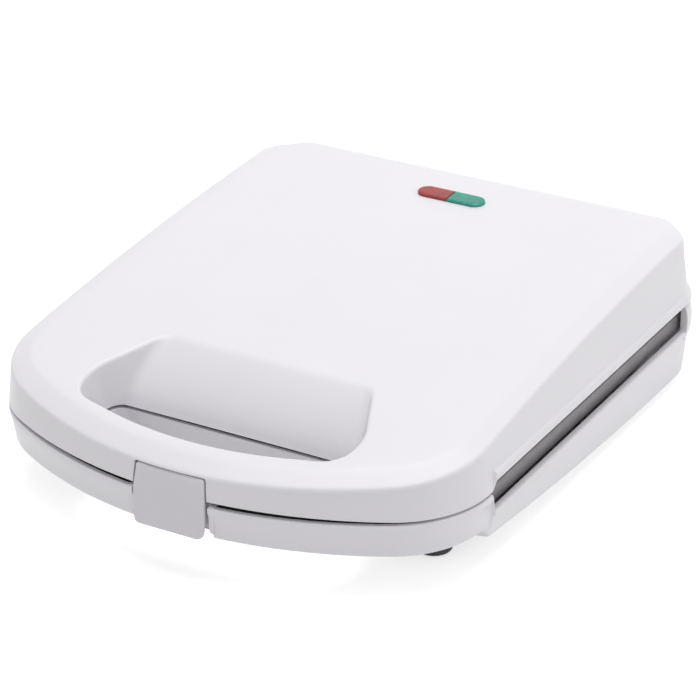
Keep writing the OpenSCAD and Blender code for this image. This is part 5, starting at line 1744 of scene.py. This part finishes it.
def facing(eye: Vector, aim: Vector) -> Matrix:
    """Returns the place and turn of a camera or lamp at eye that looks at aim."""
    turn = (aim - eye).to_track_quat("-Z", "Y")
    return Matrix.Translation(eye) @ turn.to_matrix().to_4x4()


@dataclass(frozen=True)
class Stage:
    """The floor, the light and the camera, which looks from eye to aim."""

    lens_mm: float = 150.8
    eye: Point3 = (640.8, -964.8, 644.0)
    aim: Point3 = (-0.75, 167.6, 0.75)
    floor_half: float = 4.0
    floor_glow: float = 0.6
    sky_strength: float = 0.5
    lamp_aim: Point3 = (0.0, 0.0, 0.04)

    def place(self, p: Point3) -> Vector:
        """Returns a point of the part in the frame, in metres."""
        return Vector((p[0], p[1] - FORM.centre_y, p[2] + FORM.stand_h)) * MM

    def camera(self) -> None:
        """Makes the camera at the photograph's viewing angle."""
        data = bpy.data.cameras.new("camera")
        data.lens = self.lens_mm
        data.sensor_width = 36.0
        data.clip_end = 50.0
        obj = bpy.data.objects.new("camera", data)
        obj.matrix_world = facing(self.place(self.eye), self.place(self.aim))
        bpy.context.scene.collection.objects.link(obj)
        bpy.context.scene.camera = obj

    def floor(self) -> None:
        """Makes the pale floor, which the camera sees as white and which keeps the shadow."""
        mesh, half = bpy.data.meshes.new("floor"), self.floor_half
        mesh.from_pydata([(-half, -half, 0), (half, -half, 0), (half, half, 0),
                          (-half, half, 0)], [], [(0, 1, 2, 3)])
        obj = linked("floor", mesh)
        made = bpy.data.materials.new("floor")
        made.use_nodes = True
        made.node_tree.nodes.clear()
        tree = Tree(made.node_tree)
        matt = tree.add("ShaderNodeBsdfDiffuse", {"Color": (0.8, 0.8, 0.8, 1)})
        glow = tree.add("ShaderNodeEmission", {"Color": (1, 1, 1, 1),
                                               "Strength": seen_share(tree, self.floor_glow)})
        both = tree.add("ShaderNodeAddShader", {0: matt.outputs[0], 1: glow.outputs[0]})
        tree.add("ShaderNodeOutputMaterial", {"Surface": both.outputs[0]})
        mesh.materials.append(made)

    def lamp(self, name: str, place: Point3, size: float, power: float) -> None:
        """Makes a soft square lamp that faces the part.

        Args:
            name: Name of the lamp.
            place: Where it hangs, in metres.
            size: Its side, in metres.
            power: Its power in watts.
        """
        data = bpy.data.lights.new(name, "AREA")
        data.size = size
        data.energy = power
        obj = bpy.data.objects.new(name, data)
        obj.matrix_world = facing(Vector(place), Vector(self.lamp_aim))
        bpy.context.scene.collection.objects.link(obj)

    def sky(self) -> None:
        """Makes the even light all round, white to the camera and in reflections."""
        world = bpy.data.worlds.new("studio")
        world.use_nodes = True
        world.node_tree.nodes.clear()
        tree = Tree(world.node_tree)
        soft = tree.add("ShaderNodeBackground", {"Color": (1, 1, 1, 1),
                                                 "Strength": self.sky_strength})
        seen = tree.add("ShaderNodeBackground", {"Color": (1, 1, 1, 1), "Strength": 1.0})
        both = tree.add("ShaderNodeMixShader", {0: seen_share(tree, 1.0), 1: soft.outputs[0],
                                                2: seen.outputs[0]})
        tree.add("ShaderNodeOutputWorld", {"Surface": both.outputs[0]})
        bpy.context.scene.world = world

    def build(self) -> None:
        """Makes all of the stage."""
        self.camera()
        self.floor()
        self.sky()
        self.lamp("above", (0.0, 0.12, 1.5), 1.2, 11.6)
        self.lamp("right", (1.5, 0.3, 0.8), 0.9, 2.6)
        bpy.context.scene.view_settings.view_transform = "Standard"


def seen_share(tree: Tree, strength: float) -> bpy.types.NodeSocket:
    """Returns a strength for rays that the camera, a reflection or glass sees, else 0.

    Args:
        tree: The tree that uses it.
        strength: The strength for those rays.

    Returns:
        The socket.
    """
    path = tree.add("ShaderNodeLightPath")
    best = path.outputs["Is Camera Ray"]
    for name in ("Is Glossy Ray", "Is Transmission Ray"):
        best = tree.add("ShaderNodeMath", {0: best, 1: path.outputs[name]},
                        operation="MAXIMUM").outputs[0]
    return tree.add("ShaderNodeMath", {0: best, 1: strength}, operation="MULTIPLY").outputs[0]


KEPT = {
    # The grip covers take the near-black painted shade that darkens the parting gap.
    "base_grip_cover": "gap_shade_black", "lid_grip_cover": "gap_shade_black",
    "hinge_housing": "white_moulding", "latch_bracket": "latch_moulding",
    "hinge_pins": "zinc", "hinge_arms": "zinc", "latch_pin": "zinc",
    "lower_reflector": "bright_sheet", "upper_reflector": "bright_sheet",
    "lower_element_clips": "heated_steel", "upper_element_clips": "heated_steel",
    "thermostat": "ceramic", "thermal_fuse": "glass_sleeve",
    "terminal_block": "terminal_moulding", "lamp_holder": "terminal_moulding",
    "cord_inlet": "inlet_rubber", "earth_tag": "brass", "neon_lamps": "neon_glass",
}


def main() -> None:
    """Builds the stage, the lid, the base and the latch, and dresses what stays."""
    Stage().build()
    shop = Workshop()
    Lid(shop).build()
    Base(shop).build()
    shop.dress(finished(Latch().build()), "front_latch",
               Piece("latch_moulding", "latch", "latch_grey", ("latch",)))
    Fittings().build(shop)
    for node, finish in KEPT.items():
        shop.keep(node, finish)


if __name__ == "__main__":
    logging.basicConfig(level=logging.INFO)
    main()
